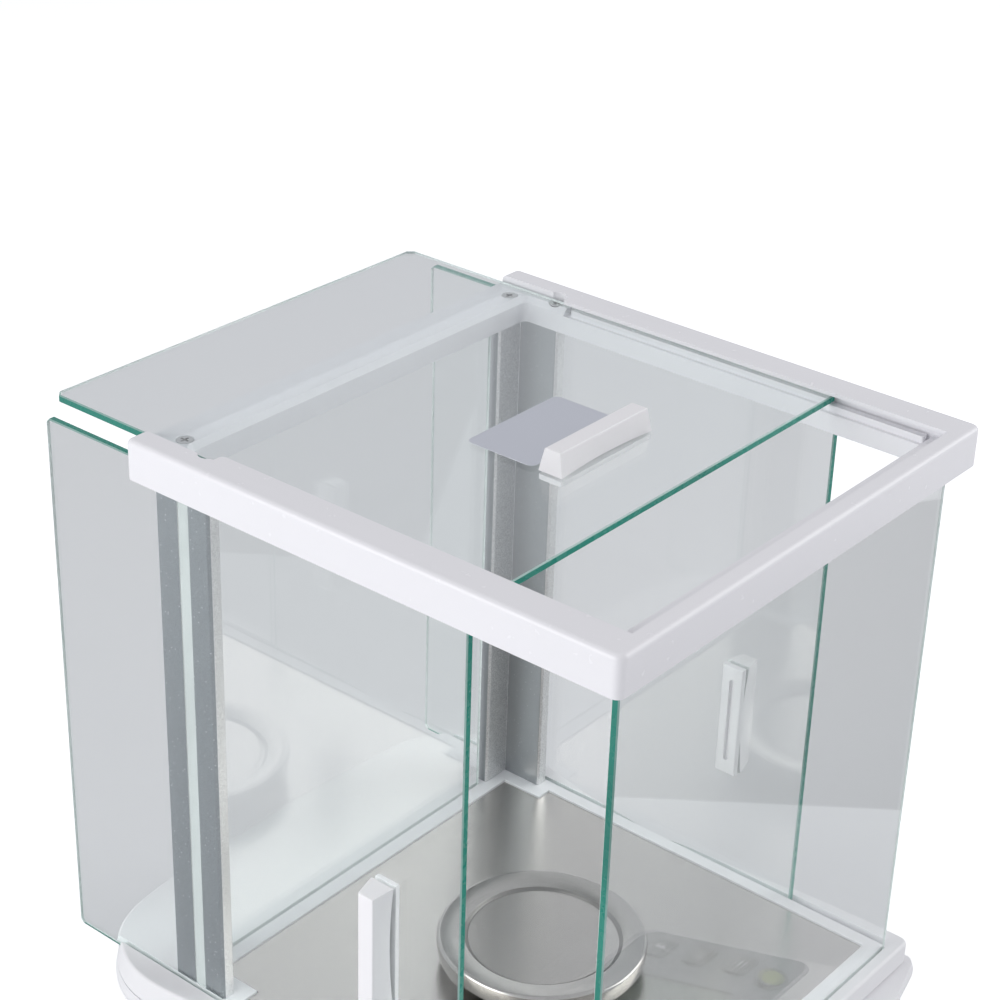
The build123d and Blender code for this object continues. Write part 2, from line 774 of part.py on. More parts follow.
# ---------------------------------------------------------------- columns and seals
column_plan = floor.offset(rim_rise)
column_h = frame_bottom - rim_rise
for side, name in ((-1, "left"), (1, "right")):
    with BuildPart() as column:
        leg = sorted((side * column_inner_x, side * column_x))
        rear = sorted((side * column_leg_x, side * column_x))
        slot = sorted((side * (column_x - strip_depth), side * column_x))
        block(column_plan, *leg, column_front_y, column_rear_y, column_h)
        block(column_plan, *rear, column_leg_y, column_rear_y, column_h)
        ends = column.edges().filter_by(Axis.Z)
        front_ends = ends.group_by(Axis.Y)[0]
        leg_ends = ends.sort_by(lambda edge: abs(edge.center().X))[:2]
        chamfer(front_ends + leg_ends, column_bevel)
        block(column_plan, *slot, strip_y - strip_w / 2, strip_y + strip_w / 2, column_h,
              Mode.SUBTRACT)
        own_screws = [(side * x, y) for x, y in corner_screws]
        rod(column_plan, own_screws, screw_r + screw_gap, column_screw_l, Mode.SUBTRACT)
        rod(floor.offset(rest_z - frame_screw_l - screw_gap), own_screws, screw_r + screw_gap,
            frame_screw_l, Mode.SUBTRACT)
    save(column, f"{name}_column")

with BuildPart() as column_seals:
    for side in (-1, 1):
        strip = sorted((side * (column_x - strip_depth), side * (column_x - strip_sunk)))
        block(column_plan, *strip, strip_y - strip_w / 2, strip_y + strip_w / 2, column_h)
save(column_seals, "column_seals")

with BuildPart() as column_screws:
    screw_foot = floor.offset(seam_z)
    rod(screw_foot, both_sides(corner_screws), pan_head_r, pan_head_h)
    rod(screw_foot, both_sides(corner_screws), screw_r, column_screw_l)
save(column_screws, "column_screws")

# ---------------------------------------------------------------- fixed panes
with BuildPart() as front_glass:
    even_block(floor.offset(groove_z), front_glass_half_w, front_glass_y,
               front_glass_y + pane_t, pane_top - groove_z)
save(front_glass, "front_glass")

with BuildPart() as rear_glass:
    even_block(floor.offset(groove_z), rear_glass_half_w, rear_glass_y,
               rear_glass_y + pane_t, pane_top - groove_z)
save(rear_glass, "rear_glass")

# ---------------------------------------------------------------- top frame
with BuildPart() as top_frame:
    even_block(floor.offset(frame_bottom), frame_half_w, frame_front_y, frame_rear_y,
               frame_top - frame_bottom)
    corners = top_frame.edges().filter_by(Axis.Z).group_by(Axis.Y)
    fillet(corners[0], frame_front_r)
    fillet(top_frame.edges().filter_by(Axis.Z).group_by(Axis.Y)[-1], frame_rear_r)
    fillet(top_frame.faces().sort_by(Axis.Z)[-1].edges(), frame_edge_r)
    # inner opening, its rear corners rounded and its rear top edge bevelled
    even_block(floor.offset(frame_bottom), inner_wall_x, bar_inner_y, crossbar_y,
               frame_top - frame_bottom, Mode.SUBTRACT)
    inner_corners = top_frame.edges().filter_by(Axis.Z).filter_by(
        lambda edge: abs(edge.center().X) < inner_wall_x + 1.0
    )
    fillet(inner_corners.group_by(Axis.Y)[-1], inner_corner_r)
    # runway of the roof pane: over the shelves, over the corners and crossbar, and out
    rest = floor.offset(rest_z)
    under_lip = frame_top - lip_t
    even_block(floor.offset(shelf_z), runway_x, bar_inner_y, shelf_end_y, under_lip - shelf_z,
               Mode.SUBTRACT)
    even_block(rest, runway_x, bar_top_y, frame_rear_y, under_lip - rest_z, Mode.SUBTRACT)
    even_block(rest, lip_x, bar_top_y, lip_end_y, frame_top - rest_z, Mode.SUBTRACT)
    even_block(rest, runway_rear_x, lip_end_y, frame_rear_y, frame_top - rest_z, Mode.SUBTRACT)
    lip_ends = top_frame.edges().filter_by(Axis.Z).filter_by(
        lambda edge: abs(abs(edge.center().X) - lip_x) < 0.1
        and edge.center().Y > pan_axis_y
    )
    fillet(lip_ends, lip_end_r)
    crossbar_edge = top_frame.edges().filter_by(
        lambda edge: abs(edge.center().Y - pan_axis_y - crossbar_y) < 0.1
        and abs(edge.center().Z - floor_height - rest_z) < 0.1
    )
    chamfer(crossbar_edge, crossbar_bevel)
    # grooves under the arms and slots for the fixed panes
    under = floor.offset(frame_bottom)
    for side in (-1, 1):
        inner, outer = sorted((side * door_in, side * door_out))
        block(under, inner, outer, front_groove_end, frame_rear_y + frame_rear_r,
              door_top + door_play - frame_bottom, Mode.SUBTRACT)
    even_block(under, front_glass_half_w + seat_gap, front_glass_y - seat_gap,
               front_groove_end, pane_into_frame + seat_gap, Mode.SUBTRACT)
    even_block(under, rear_glass_half_w + seat_gap, rear_glass_y - seat_gap,
               rear_glass_y + pane_t + seat_gap, pane_into_frame + seat_gap, Mode.SUBTRACT)
    # screws: through holes, countersinks, and scallops in the arms beside them
    rod(under, both_sides(corner_screws), screw_r + screw_gap, rest_z - frame_bottom,
        Mode.SUBTRACT)
    rod(rest, both_sides(corner_screws[1:]), scallop_r, frame_top - rest_z, Mode.SUBTRACT)
    with Locations(*[rest.from_local_coords((x, y, 0)) for x, y in both_sides(corner_screws)]):
        Cone(
            screw_r + screw_gap,
            frame_screw_head_r + screw_gap,
            frame_screw_head_h + screw_gap,
            align=(Align.CENTER, Align.CENTER, Align.MAX),
            mode=Mode.SUBTRACT,
        )
save(top_frame, "top_frame")

with BuildPart() as frame_screws:
    head_top = floor.offset(rest_z - frame_screw_sunk)
    rod(head_top.offset(-frame_screw_l), both_sides(corner_screws), screw_r, frame_screw_l)
    with Locations(*[head_top.from_local_coords((x, y, 0)) for x, y in both_sides(corner_screws)]):
        Cone(
            screw_r,
            frame_screw_head_r,
            frame_screw_head_h,
            align=(Align.CENTER, Align.CENTER, Align.MAX),
        )
    with BuildSketch(head_top.offset(-cross_depth)):
        with Locations(*both_sides(corner_screws)):
            Rectangle(cross_l, cross_w)
            Rectangle(cross_w, cross_l)
    extrude(amount=cross_depth, mode=Mode.SUBTRACT)
save(frame_screws, "frame_screws")

with BuildPart() as roof_glides:
    glide_l = shelf_end_y - bar_inner_y - 2 * glide_end
    for place in both_sides([(glide_x, (bar_inner_y + shelf_end_y) / 2)]):
        rounded(floor.offset(shelf_z), place, glide_w, glide_l, glide_w / 2 - door_play,
                rest_z - shelf_z)
save(roof_glides, "roof_glides")


# ---------------------------------------------------------------- doors
def outward(side, x, y, z):
    """Plane on a side door's face, its x axis up and its normal away from the middle."""
    return Plane(
        origin=floor.from_local_coords((side * x, y, z)), x_dir=(0, 0, 1), z_dir=(side, 0, 0)
    )


def bar_handle(plane):
    """A tapering bar with a shallow finger scoop along each long side, standing on a plane."""
    with BuildPart() as handle:
        with BuildSketch(plane):
            Rectangle(handle_l, handle_w)
        with BuildSketch(plane.offset(handle_h)):
            Rectangle(handle_top_l, handle_top_w)
        loft()
        scoop_r = (handle_scoop_l**2 / 4 + handle_scoop**2) / (2 * handle_scoop)
        with BuildSketch(plane):
            with Locations((0, handle_w / 2 - handle_scoop + scoop_r),
                           (0, handle_scoop - handle_w / 2 - scoop_r)):
                Circle(scoop_r)
        extrude(amount=handle_h, mode=Mode.SUBTRACT)
        fillet(handle.faces().sort_by(Axis(plane.origin, plane.z_dir))[-1].edges(), handle_edge_r)
    return handle


def backing_plate(plane):
    """The slotted plate that holds a handle from the other face of the glass."""
    with BuildPart() as backing:
        with BuildSketch(plane):
            Rectangle(backing_l, backing_w)
        extrude(amount=backing_t)
        outer_face = Axis(plane.origin, plane.z_dir)
        chamfer(backing.faces().sort_by(outer_face)[-1].edges(), backing_bevel)
        with BuildSketch(plane.offset(backing_t - backing_slot_depth)):
            SlotOverall(backing_slot_l, backing_slot_w)
        extrude(amount=backing_slot_depth, mode=Mode.SUBTRACT)
    return backing


for side, name, door_y in ((-1, "left", left_door_y), (1, "right", right_door_y)):
    with BuildPart() as side_glass:
        pane = sorted((side * door_x, side * (door_x - pane_t)))
        block(floor.offset(door_bottom), *pane, door_y, door_y + door_length,
              door_top - door_bottom)
        chamfer(side_glass.edges().filter_by(Axis.X).group_by(Axis.Y)[-1], door_bevel)
    save(side_glass, f"{name}_door_glass")
    handle_y = door_y + handle_in
    save(bar_handle(outward(side, door_x, handle_y, handle_z)), f"{name}_door_handle")
    inside = outward(side, door_x - pane_t, handle_y, handle_z)
    save(backing_plate(Plane(inside.origin, x_dir=inside.x_dir, z_dir=-inside.z_dir)),
         f"{name}_door_backing")

with BuildPart() as roof_glass:
    even_block(floor.offset(roof_under), roof_half_w, roof_y, roof_y + roof_length, pane_t)
    chamfer(roof_glass.edges().filter_by(Axis.Z).group_by(Axis.Y)[-1], roof_bevel)
save(roof_glass, "roof_glass")

roof_top = floor.offset(roof_under + pane_t)
roof_handle_y = roof_y + roof_handle_in
roof_handle_at = roof_top.from_local_coords((0, roof_handle_y, 0))
roof_under_at = roof_top.from_local_coords((0, roof_handle_y, -pane_t))
save(bar_handle(Plane(roof_handle_at)), "roof_handle")
save(backing_plate(Plane(roof_under_at, x_dir=(1, 0, 0), z_dir=(0, 0, -1))), "roof_backing")

with BuildPart() as roof_label:
    label_y = roof_handle_y + handle_w / 2 + label_gap + label_l / 2
    rounded(roof_top, (0, label_y), label_w, label_l, label_corner_r, label_t)
save(roof_label, "roof_label")

# ---------------------------------------------------------------- control panel
with BuildPart() as control_panel:
    rounded(panel_plane.offset(panel_under), (0, 0), panel_w, panel_l, panel_corner_r, panel_t)
    panel_face = control_panel.faces().sort_by(Axis(panel_plane.origin, panel_plane.z_dir))[-1]
    fillet(panel_face.edges(), panel_edge_r)
    rounded(panel_plane.offset(panel_under), (0, window_up), window_w + 2 * window_gap,
            window_l + 2 * window_gap, window_gap + 1.0, panel_t, Mode.SUBTRACT)
    for place in key_places:
        rounded(panel_plane.offset(panel_under), place, key_w + 2 * key_play,
                key_l + 2 * key_play, key_corner_r + key_play, panel_t, Mode.SUBTRACT)
    rod(level_plane.offset(-2 * level_h), [(0, 0)], level_r + level_fit, 3 * level_h,
        Mode.SUBTRACT)
save(control_panel, "control_panel")

window_top = panel_proud - window_sunk
with BuildPart() as display_window:
    rounded(panel_plane.offset(window_top - window_t), (0, window_up), window_w, window_l, 1.0,
            window_t)
save(display_window, "display_window")

with BuildPart() as display_module:
    rounded(panel_plane.offset(panel_under - module_h), (0, window_up), module_w, module_l,
            aperture_gap, module_h)
    rounded(panel_plane.offset(panel_under), (0, window_up), window_w, window_l, 1.0,
            window_top - window_t - panel_under)
save(display_module, "display_module")

for name, place in zip(key_names, key_places):
    with BuildPart() as key:
        rounded(panel_plane.offset(flange_top), place, key_w, key_l, key_corner_r,
                panel_proud + key_rise - flange_top)
        crown = key.faces().sort_by(Axis(panel_plane.origin, panel_plane.z_dir))[-1]
        fillet(crown.edges(), key_edge_r)
        rounded(panel_plane.offset(flange_top - key_flange_t), place, key_w + 2 * key_flange_w,
                key_l + 2 * key_flange_w, key_corner_r, key_flange_t)
    save(key, f"key_{name}")

key_board_top = -console_skin
with BuildPart() as key_board:
    for column in key_columns:
        rounded(panel_plane.offset(key_board_top - board_t), column, key_slot_w + board_border,
                key_slot_l + board_border, aperture_gap, board_t)
save(key_board, "key_board")

with BuildPart() as key_switches:
    switch_h = flange_top - key_flange_t - key_travel - key_gap - key_board_top
    for place in key_places:
        rounded(panel_plane.offset(key_board_top), place, switch_size, switch_size, 0.5, switch_h)
save(key_switches, "key_switches")

with BuildPart() as level_cup:
    rod(level_plane.offset(-level_h), [(0, 0)], level_r, level_h)
    rod(level_plane.offset(level_floor_t - level_h), [(0, 0)], level_r - level_wall, level_h,
        Mode.SUBTRACT)
save(level_cup, "level_cup")

with BuildPart() as level_vial:
    rod(level_plane.offset(level_floor_t - level_h), [(0, 0)], level_r - level_wall,
        level_h - level_floor_t)
    fillet(level_vial.edges().group_by(Axis.Z)[-1], level_wall / 2)
save(level_vial, "level_vial")

# ---------------------------------------------------------------- levelling feet
for side, name in ((-1, "left"), (1, "right")):
    at = [(side * front_foot_x, front_foot_y)]
    with BuildPart() as foot_pad:
        rod(floor.offset(bench_z), at, pad_r, pad_t)
        fillet(foot_pad.edges().group_by(Axis.Z)[0], pad_edge_r)
    save(foot_pad, f"{name}_foot_pad")
    with BuildPart() as foot_stud:
        rod(floor.offset(bench_z + pad_t), at, stud_head_r, stud_head_h)
        rod(floor.offset(bench_z + pad_t), at, stud_r, stud_head_h + stud_l)
    save(foot_stud, f"{name}_foot_stud")
    with BuildPart() as foot_wheel:
        wheel_foot = floor.offset(bench_z + pad_t + stud_head_h)
        rod(wheel_foot, at, wheel_r, wheel_t)
        with BuildSketch(wheel_foot):
            with Locations(*at):
                with PolarLocations(wheel_r, wheel_flutes):
                    Circle(wheel_flute_r)
        extrude(amount=wheel_t, mode=Mode.SUBTRACT)
        rod(wheel_foot, at, stud_r, wheel_t, Mode.SUBTRACT)
    save(foot_wheel, f"{name}_foot_wheel")

# ---------------------------------------------------------------- weighing cell
stem_foot = -stem_depth - stem_play
with BuildPart() as cell_block:
    even_block(floor.offset(cell_bottom), cell_half_w, -cell_half_l, cell_half_l,
               cell_top - cell_bottom)
    rod(floor.offset(stem_foot), [(0, 0)], stem_r + stem_play, cell_top - stem_foot,
        Mode.SUBTRACT)
    # two slots free the parallelogram of the monolithic cell
    for slot_z in (cell_top - 2 * cell_slot, cell_bottom + cell_slot):
        even_block(floor.offset(slot_z), cell_half_w, stem_shoulder_r * 2, cell_half_l - cell_slot,
                   cell_slot, Mode.SUBTRACT)
save(cell_block, "cell_block")

with BuildPart() as cell_magnet:
    rod(floor.offset(plinth_top), [(0, magnet_y)], magnet_r, magnet_h)
    with BuildSketch(floor.offset(plinth_top + magnet_h / 2)):
        with Locations((0, magnet_y)):
            Circle(coil_r + 2 * magnet_gap)
            Circle(coil_r - magnet_gap, mode=Mode.SUBTRACT)
    extrude(amount=magnet_h / 2, mode=Mode.SUBTRACT)
save(cell_magnet, "cell_magnet")

with BuildPart() as cell_beam:
    beam_z = plinth_top + magnet_h + magnet_gap
    even_block(floor.offset(beam_z), beam_w / 2, cell_half_l, magnet_y + coil_r, beam_t)
    rod(floor.offset(plinth_top + magnet_h / 2 + magnet_gap), [(0, magnet_y)], coil_r,
        magnet_h / 2)
    rod(floor.offset(plinth_top + magnet_h / 2 + magnet_gap), [(0, magnet_y)], coil_r - 1.0,
        magnet_h / 2, Mode.SUBTRACT)
save(cell_beam, "cell_beam")

with BuildPart() as under_hook:
    rod(floor.offset(cell_bottom - hook_drop), [(0, 0)], hook_r, hook_drop)
    eye = Plane(
        origin=floor.from_local_coords((0, 0, cell_bottom - hook_drop - hook_eye_r + hook_eye_wire)),
        x_dir=(1, 0, 0),
        z_dir=(0, -1, 0),
    )
    with Locations(eye):
        Torus(hook_eye_r - hook_eye_wire, hook_eye_wire)
save(under_hook, "under_hook")

with BuildPart() as circuit_board:
    even_block(floor.offset(plate_top + main_board_lift), main_board_half_w, main_board_y,
               main_board_y + main_board_l, board_t)
save(circuit_board, "circuit_board")

# ---------------------------------------------------------------- rear sockets
rear_face = Plane(
    origin=floor.from_local_coords((0, port_plate_y, 0)), x_dir=(-1, 0, 0), z_dir=(0, 1, 0)
)

with BuildPart() as port_plate:
    block(rear_face.offset(-port_plate_t), -port_plate_half_w, port_plate_half_w, port_plate_z,
          port_plate_z + port_plate_h, port_plate_t)
    block(rear_face.offset(-port_plate_t), -inlet_x - inlet_w / 2, -inlet_x + inlet_w / 2,
          inlet_z - inlet_h / 2, inlet_z + inlet_h / 2, port_plate_t, Mode.SUBTRACT)
    block(rear_face.offset(-port_plate_t), -data_x - data_shell_w / 2, -data_x + data_shell_w / 2,
          data_z - data_shell_h / 2, data_z + data_shell_h / 2, port_plate_t, Mode.SUBTRACT)
    jack_places = [(-data_x + end * jack_pitch / 2, data_z) for end in (-1, 1)]
    rod(rear_face.offset(-port_plate_t), jack_places, screw_r, port_plate_t, Mode.SUBTRACT)
save(port_plate, "port_plate")

inlet_at = [(-inlet_x, inlet_z)]
with BuildPart() as dc_inlet:
    block(rear_face.offset(-inlet_depth), -inlet_x - inlet_w / 2, -inlet_x + inlet_w / 2,
          inlet_z - inlet_h / 2, inlet_z + inlet_h / 2, inlet_depth)
    rounded(rear_face, inlet_at[0], inlet_w + 2 * inlet_flange, inlet_h + 2 * inlet_flange,
            inlet_flange, inlet_flange_t)
    rod(rear_face.offset(inlet_flange_t - inlet_bore_l), inlet_at, inlet_bore_r, inlet_bore_l,
        Mode.SUBTRACT)
save(dc_inlet, "dc_inlet")

with BuildPart() as dc_pin:
    rod(rear_face.offset(inlet_flange_t - inlet_bore_l), inlet_at, inlet_pin_r,
        inlet_bore_l - inlet_flange_t)
    fillet(dc_pin.edges().group_by(Axis.Y)[-1], inlet_pin_r / 2)
save(dc_pin, "dc_pin")

with BuildPart() as data_port:
    data_at = (-data_x, data_z)
    block(rear_face.offset(-data_depth), -data_x - data_shell_w / 2, -data_x + data_shell_w / 2,
          data_z - data_shell_h / 2, data_z + data_shell_h / 2, data_depth)
    rounded(rear_face, data_at, data_flange_w, data_flange_h, 1.0, inlet_flange_t)
    with BuildSketch(rear_face.offset(inlet_flange_t)) as shell_end:
        with Locations(data_at):
            Trapezoid(data_shell_w, data_shell_h, 80)
        fillet(shell_end.vertices(), 2.0)
    extrude(amount=data_shell_l)
    pins_from = rear_face.offset(inlet_flange_t)
    pin_places = []
    for count, row in ((5, -1), (4, 1)):
        for order in range(count):
            across = (order - (count - 1) / 2) * data_pin_pitch
            pin_places.append((across - data_x, data_z + row * data_row_pitch / 2))
    rod(pins_from, pin_places, data_pin_r, data_shell_l, Mode.SUBTRACT)
    rod(rear_face, jack_places, screw_r, inlet_flange_t, Mode.SUBTRACT)
save(data_port, "data_port")

with BuildPart() as port_jackscrews:
    with BuildSketch(rear_face.offset(inlet_flange_t)):
        with Locations(*jack_places):
            RegularPolygon(jack_r, 6)
    extrude(amount=jack_l)
    rod(rear_face.offset(-2 * port_plate_t), jack_places, screw_r,
        2 * port_plate_t + inlet_flange_t)
save(port_jackscrews, "port_jackscrews")
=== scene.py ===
"""Looks of an analytical balance with a sliding-door glass draught shield.

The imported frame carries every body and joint. This script dresses its nodes, rebuilds the
pieces that need finer shape, and lights them in a pale studio. Lengths are in metres.
"""

from __future__ import annotations

import json
import logging
import math
from dataclasses import dataclass
from enum import Enum, IntEnum
from functools import cache
from typing import Callable, Iterable, Sequence

import bmesh
import bpy
from bpy.types import Material, Mesh, MeshPolygon, Node, NodeSocket, NodeTree, Object
from mathutils import Matrix, Vector

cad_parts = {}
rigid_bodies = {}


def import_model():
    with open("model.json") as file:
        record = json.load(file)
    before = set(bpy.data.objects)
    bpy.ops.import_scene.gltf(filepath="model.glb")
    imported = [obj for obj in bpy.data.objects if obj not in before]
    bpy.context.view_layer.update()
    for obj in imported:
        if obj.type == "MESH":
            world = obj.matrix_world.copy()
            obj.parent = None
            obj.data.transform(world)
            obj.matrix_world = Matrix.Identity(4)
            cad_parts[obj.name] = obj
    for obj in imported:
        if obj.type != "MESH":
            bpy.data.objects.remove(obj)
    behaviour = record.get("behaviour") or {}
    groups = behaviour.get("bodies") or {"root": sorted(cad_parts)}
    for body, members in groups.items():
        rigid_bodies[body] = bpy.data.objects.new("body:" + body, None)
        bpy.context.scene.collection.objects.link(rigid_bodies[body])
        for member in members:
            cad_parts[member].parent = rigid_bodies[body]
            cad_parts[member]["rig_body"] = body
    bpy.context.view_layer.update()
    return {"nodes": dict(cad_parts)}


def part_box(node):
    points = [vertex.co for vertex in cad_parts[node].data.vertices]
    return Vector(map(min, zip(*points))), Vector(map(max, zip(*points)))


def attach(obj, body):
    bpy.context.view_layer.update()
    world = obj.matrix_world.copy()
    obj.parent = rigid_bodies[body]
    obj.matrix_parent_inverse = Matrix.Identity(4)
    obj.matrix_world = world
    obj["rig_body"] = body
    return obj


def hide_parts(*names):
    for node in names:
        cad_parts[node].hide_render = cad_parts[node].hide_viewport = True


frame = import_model()

log = logging.getLogger("balance")

MM = 0.001
UM = 0.000001
STEM_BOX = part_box("pan_stem")
PAN_Y = (STEM_BOX[0].y + STEM_BOX[1].y) / 2
PLATE_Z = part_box("floor_plate")[1].z
SLOPE = math.radians(17.0)
LEAN = (SLOPE, 0.0, 0.0)
ORIGIN = (0.0, 0.0, 0.0)
EVEN = (1.0, 1.0, 1.0)
MERGE = 1e-7
STEEP = 50.0

Colour = tuple[float, float, float]
Point2 = tuple[float, float]
Point3 = tuple[float, float, float]
Source = Node | NodeSocket
Inputs = dict[str | int, object]


class Brush(Enum):
    """Which way a metal surface was brushed."""

    ALONG_X = "along_x"
    NONE = "none"


class PaneSlot(IntEnum):
    """Material slots of a pane."""

    FACE = 0
    EDGE = 1
    ARRIS = 2


class PanSlot(IntEnum):
    """Material slots of the pan."""

    FACE = 0
    RIM = 1
    STEP = 2


# ------------------------------------------------------------------ node trees
class Nodes:
    """A node tree, with short calls to add, set and join nodes."""

    def __init__(self, tree: NodeTree) -> None:
        """Work on a tree."""
        self.tree = tree

    def add(self, kind: str, inputs: Inputs | None = None, **settings: object) -> Node:
        """Add a node.

        Args:
            kind: Blender's node type.
            inputs: Its inputs, as feed takes them.
            **settings: Properties of the node.

        Returns:
            The new node.
        """
        node = self.tree.nodes.new(kind)
        for key, value in settings.items():
            setattr(node, key, value)
        self.feed(node, inputs or {})
        return node

    def feed(self, node: Node, inputs: Inputs) -> None:
        """Set or drive some inputs of a node.

        Args:
            node: The node.
            inputs: Value of each input, by name or order. A socket drives the input, and a
                node does so with its first output.
        """
        for key, value in inputs.items():
            if isinstance(value, Node):
                value = value.outputs[0]
            if isinstance(value, NodeSocket):
                self.tree.links.new(value, node.inputs[key])
            else:
                node.inputs[key].default_value = value

    def ray(self, kind: str) -> NodeSocket:
        """Test of the kind of ray that arrives."""
        return self.add("ShaderNodeLightPath").outputs[kind]

    def blend(self, factor: Source | float, first: Source, second: Source) -> Node:
        """Mix two shaders by a factor."""
        return self.add("ShaderNodeMixShader", {0: factor, 1: first, 2: second})


class Graph(Nodes):
    """Node tree of a material."""

    def __init__(self, name: str) -> None:
        """Start an empty material.

        Args:
            name: Name of the material.
        """
        self.material = bpy.data.materials.new(name)
        self.material.use_nodes = True
        super().__init__(self.material.node_tree)
        self.tree.nodes.clear()

    def finish(self, shader: Source) -> Material:
        """Send a shader to the output and return the material."""
        self.add("ShaderNodeOutputMaterial", {"Surface": shader})
        return self.material

    def principled(self, inputs: Inputs) -> Node:
        """Add a principled shader."""
        return self.add("ShaderNodeBsdfPrincipled", inputs)

    def place(self, stretch: Point3 = EVEN, centre: Point3 = ORIGIN) -> Node:
        """Object coordinates, centred on a point and stretched.

        Args:
            stretch: Scale of each axis.
            centre: Point that becomes the pattern's origin.

        Returns:
            The mapping node.
        """
        inputs = {
            "Vector": self.add("ShaderNodeTexCoord").outputs["Object"],
            "Location": [-c * s for c, s in zip(centre, stretch)],
            "Scale": stretch,
        }
        return self.add("ShaderNodeMapping", inputs)

    def noise(self, vector: Source, scale: float, detail: float = 2.0) -> Node:
        """Add a noise texture."""
        inputs = {"Vector": vector, "Scale": scale, "Detail": detail}
        return self.add("ShaderNodeTexNoise", inputs)

    def spread(self, source: Source, low: float, high: float, margin: float = 0.3) -> Node:
        """Stretch a noise over a range, leaving out a margin at each end of the noise."""
        inputs = {"Value": source, "From Min": margin, "From Max": 1.0 - margin}
        return self.add("ShaderNodeMapRange", {**inputs, "To Min": low, "To Max": high})

    def tint(self, factor: Source, first: object, second: object) -> NodeSocket:
        """Mix two opaque colours, or what drives them, by a factor."""
        inputs = {"Factor": factor, 6: first, 7: second}
        return self.add("ShaderNodeMix", inputs, data_type="RGBA").outputs[2]

    def uneven(self, factor: Source, colour: Colour, variation: float) -> NodeSocket:
        """Vary the lightness of a colour by a factor."""
        return self.tint(factor, *(rgba(shade(colour, 1 + v)) for v in (-variation, variation)))

    def bump(self, height: Source, depth: float, strength: float = 1.0) -> Node:
        """Turn a height from 0 to 1 into the bumped normal of a relief of some depth."""
        inputs = {"Height": height, "Distance": depth, "Strength": strength}
        return self.add("ShaderNodeBump", inputs)


def shade(colour: Colour, factor: float) -> Colour:
    """Scale a colour, no channel above one."""
    return tuple(min(1.0, c * factor) for c in colour)


def rgba(colour: Colour) -> tuple[float, float, float, float]:
    """Make a colour opaque."""
    return (*colour, 1.0)


# ------------------------------------------------------------------ finishes
@dataclass(frozen=True)
class MouldedPlastic:
    """Moulded plastic or rubber with a fine texture and slightly uneven tone."""

    name: str
    colour: Colour
    roughness: float = 0.4
    grain: float = 1800.0
    grain_depth: float = 20 * UM
    variation: float = 0.02
    coat: float = 0.0
    coat_roughness: float = 0.2
    wear: float = 0.04
    clouds: float = 22.0
    smudges: float = 240.0

    def build(self) -> Material:
        """Build the material."""
        g = Graph(self.name)
        where = g.place()
        clouds = g.noise(where, self.clouds, detail=4.0)
        smudges = g.noise(where, self.smudges, detail=3.0)
        reach = self.roughness * self.wear
        inputs = {
            "Base Color": g.uneven(clouds, self.colour, self.variation),
            "Roughness": g.spread(smudges, self.roughness - reach, self.roughness + reach),
            "Normal": g.bump(g.noise(where, self.grain), self.grain_depth),
            "Coat Weight": self.coat,
            "Coat Roughness": self.coat_roughness,
        }
        return g.finish(g.principled(inputs))


@dataclass(frozen=True)
class FloatGlass:
    """Clear polished float glass that lets the lamps through."""

    name: str
    colour: Colour = (0.975, 0.99, 0.985)
    shadow: Colour = (0.93, 0.96, 0.95)
    ior: float = 1.5
    wave: float = 6.0
    wave_depth: float = 30 * UM
    wave_share: float = 0.2
    haze: float = 35.0
    haze_roughness: float = 0.012

    def build(self) -> Material:
        """Build the material."""
        g = Graph(self.name)
        where = g.place()
        haze = g.noise(where, self.haze, detail=5.0)
        wave = g.noise(where, self.wave, detail=0.0)
        inputs = {
            "Base Color": rgba(self.colour),
            "Roughness": g.spread(haze, 0.0, self.haze_roughness, margin=0.45),
            "IOR": self.ior,
            "Normal": g.bump(wave, self.wave_depth, self.wave_share),
            "Transmission Weight": 1.0,
        }
        clear = g.add("ShaderNodeBsdfTransparent", {"Color": rgba(self.shadow)})
        return g.finish(g.blend(g.ray("Is Shadow Ray"), g.principled(inputs), clear))


@dataclass(frozen=True)
class GroundEdge:
    """Ground edge of float glass, where the green of the glass gathers."""

    name: str
    colour: Colour
    deep: Colour
    # Strength of the edge's emission in its own tone: painted light.
    glow: float = 0.3
    ior: float = 1.5
    polish: tuple[float, float] = (0.12, 0.4)
    grain: float = 260.0
    grain_depth: float = 30 * UM
    clouds: float = 18.0

    def build(self) -> Material:
        """Build the material."""
        g = Graph(self.name)
        where = g.place()
        grain = g.noise(where, self.grain, detail=4.0)
        clouds = g.spread(g.noise(where, self.clouds), 0.0, 1.0)
        tone = g.tint(clouds, rgba(self.deep), rgba(self.colour))
        inputs = {
            "Base Color": tone,
            "Roughness": g.spread(grain, *self.polish),
            "IOR": self.ior,
            "Normal": g.bump(grain, self.grain_depth),
            # The edge glows in its own tone: painted light, though the edge is no lamp.
            "Emission Color": tone,
            "Emission Strength": self.glow,
        }
        return g.finish(g.principled(inputs))


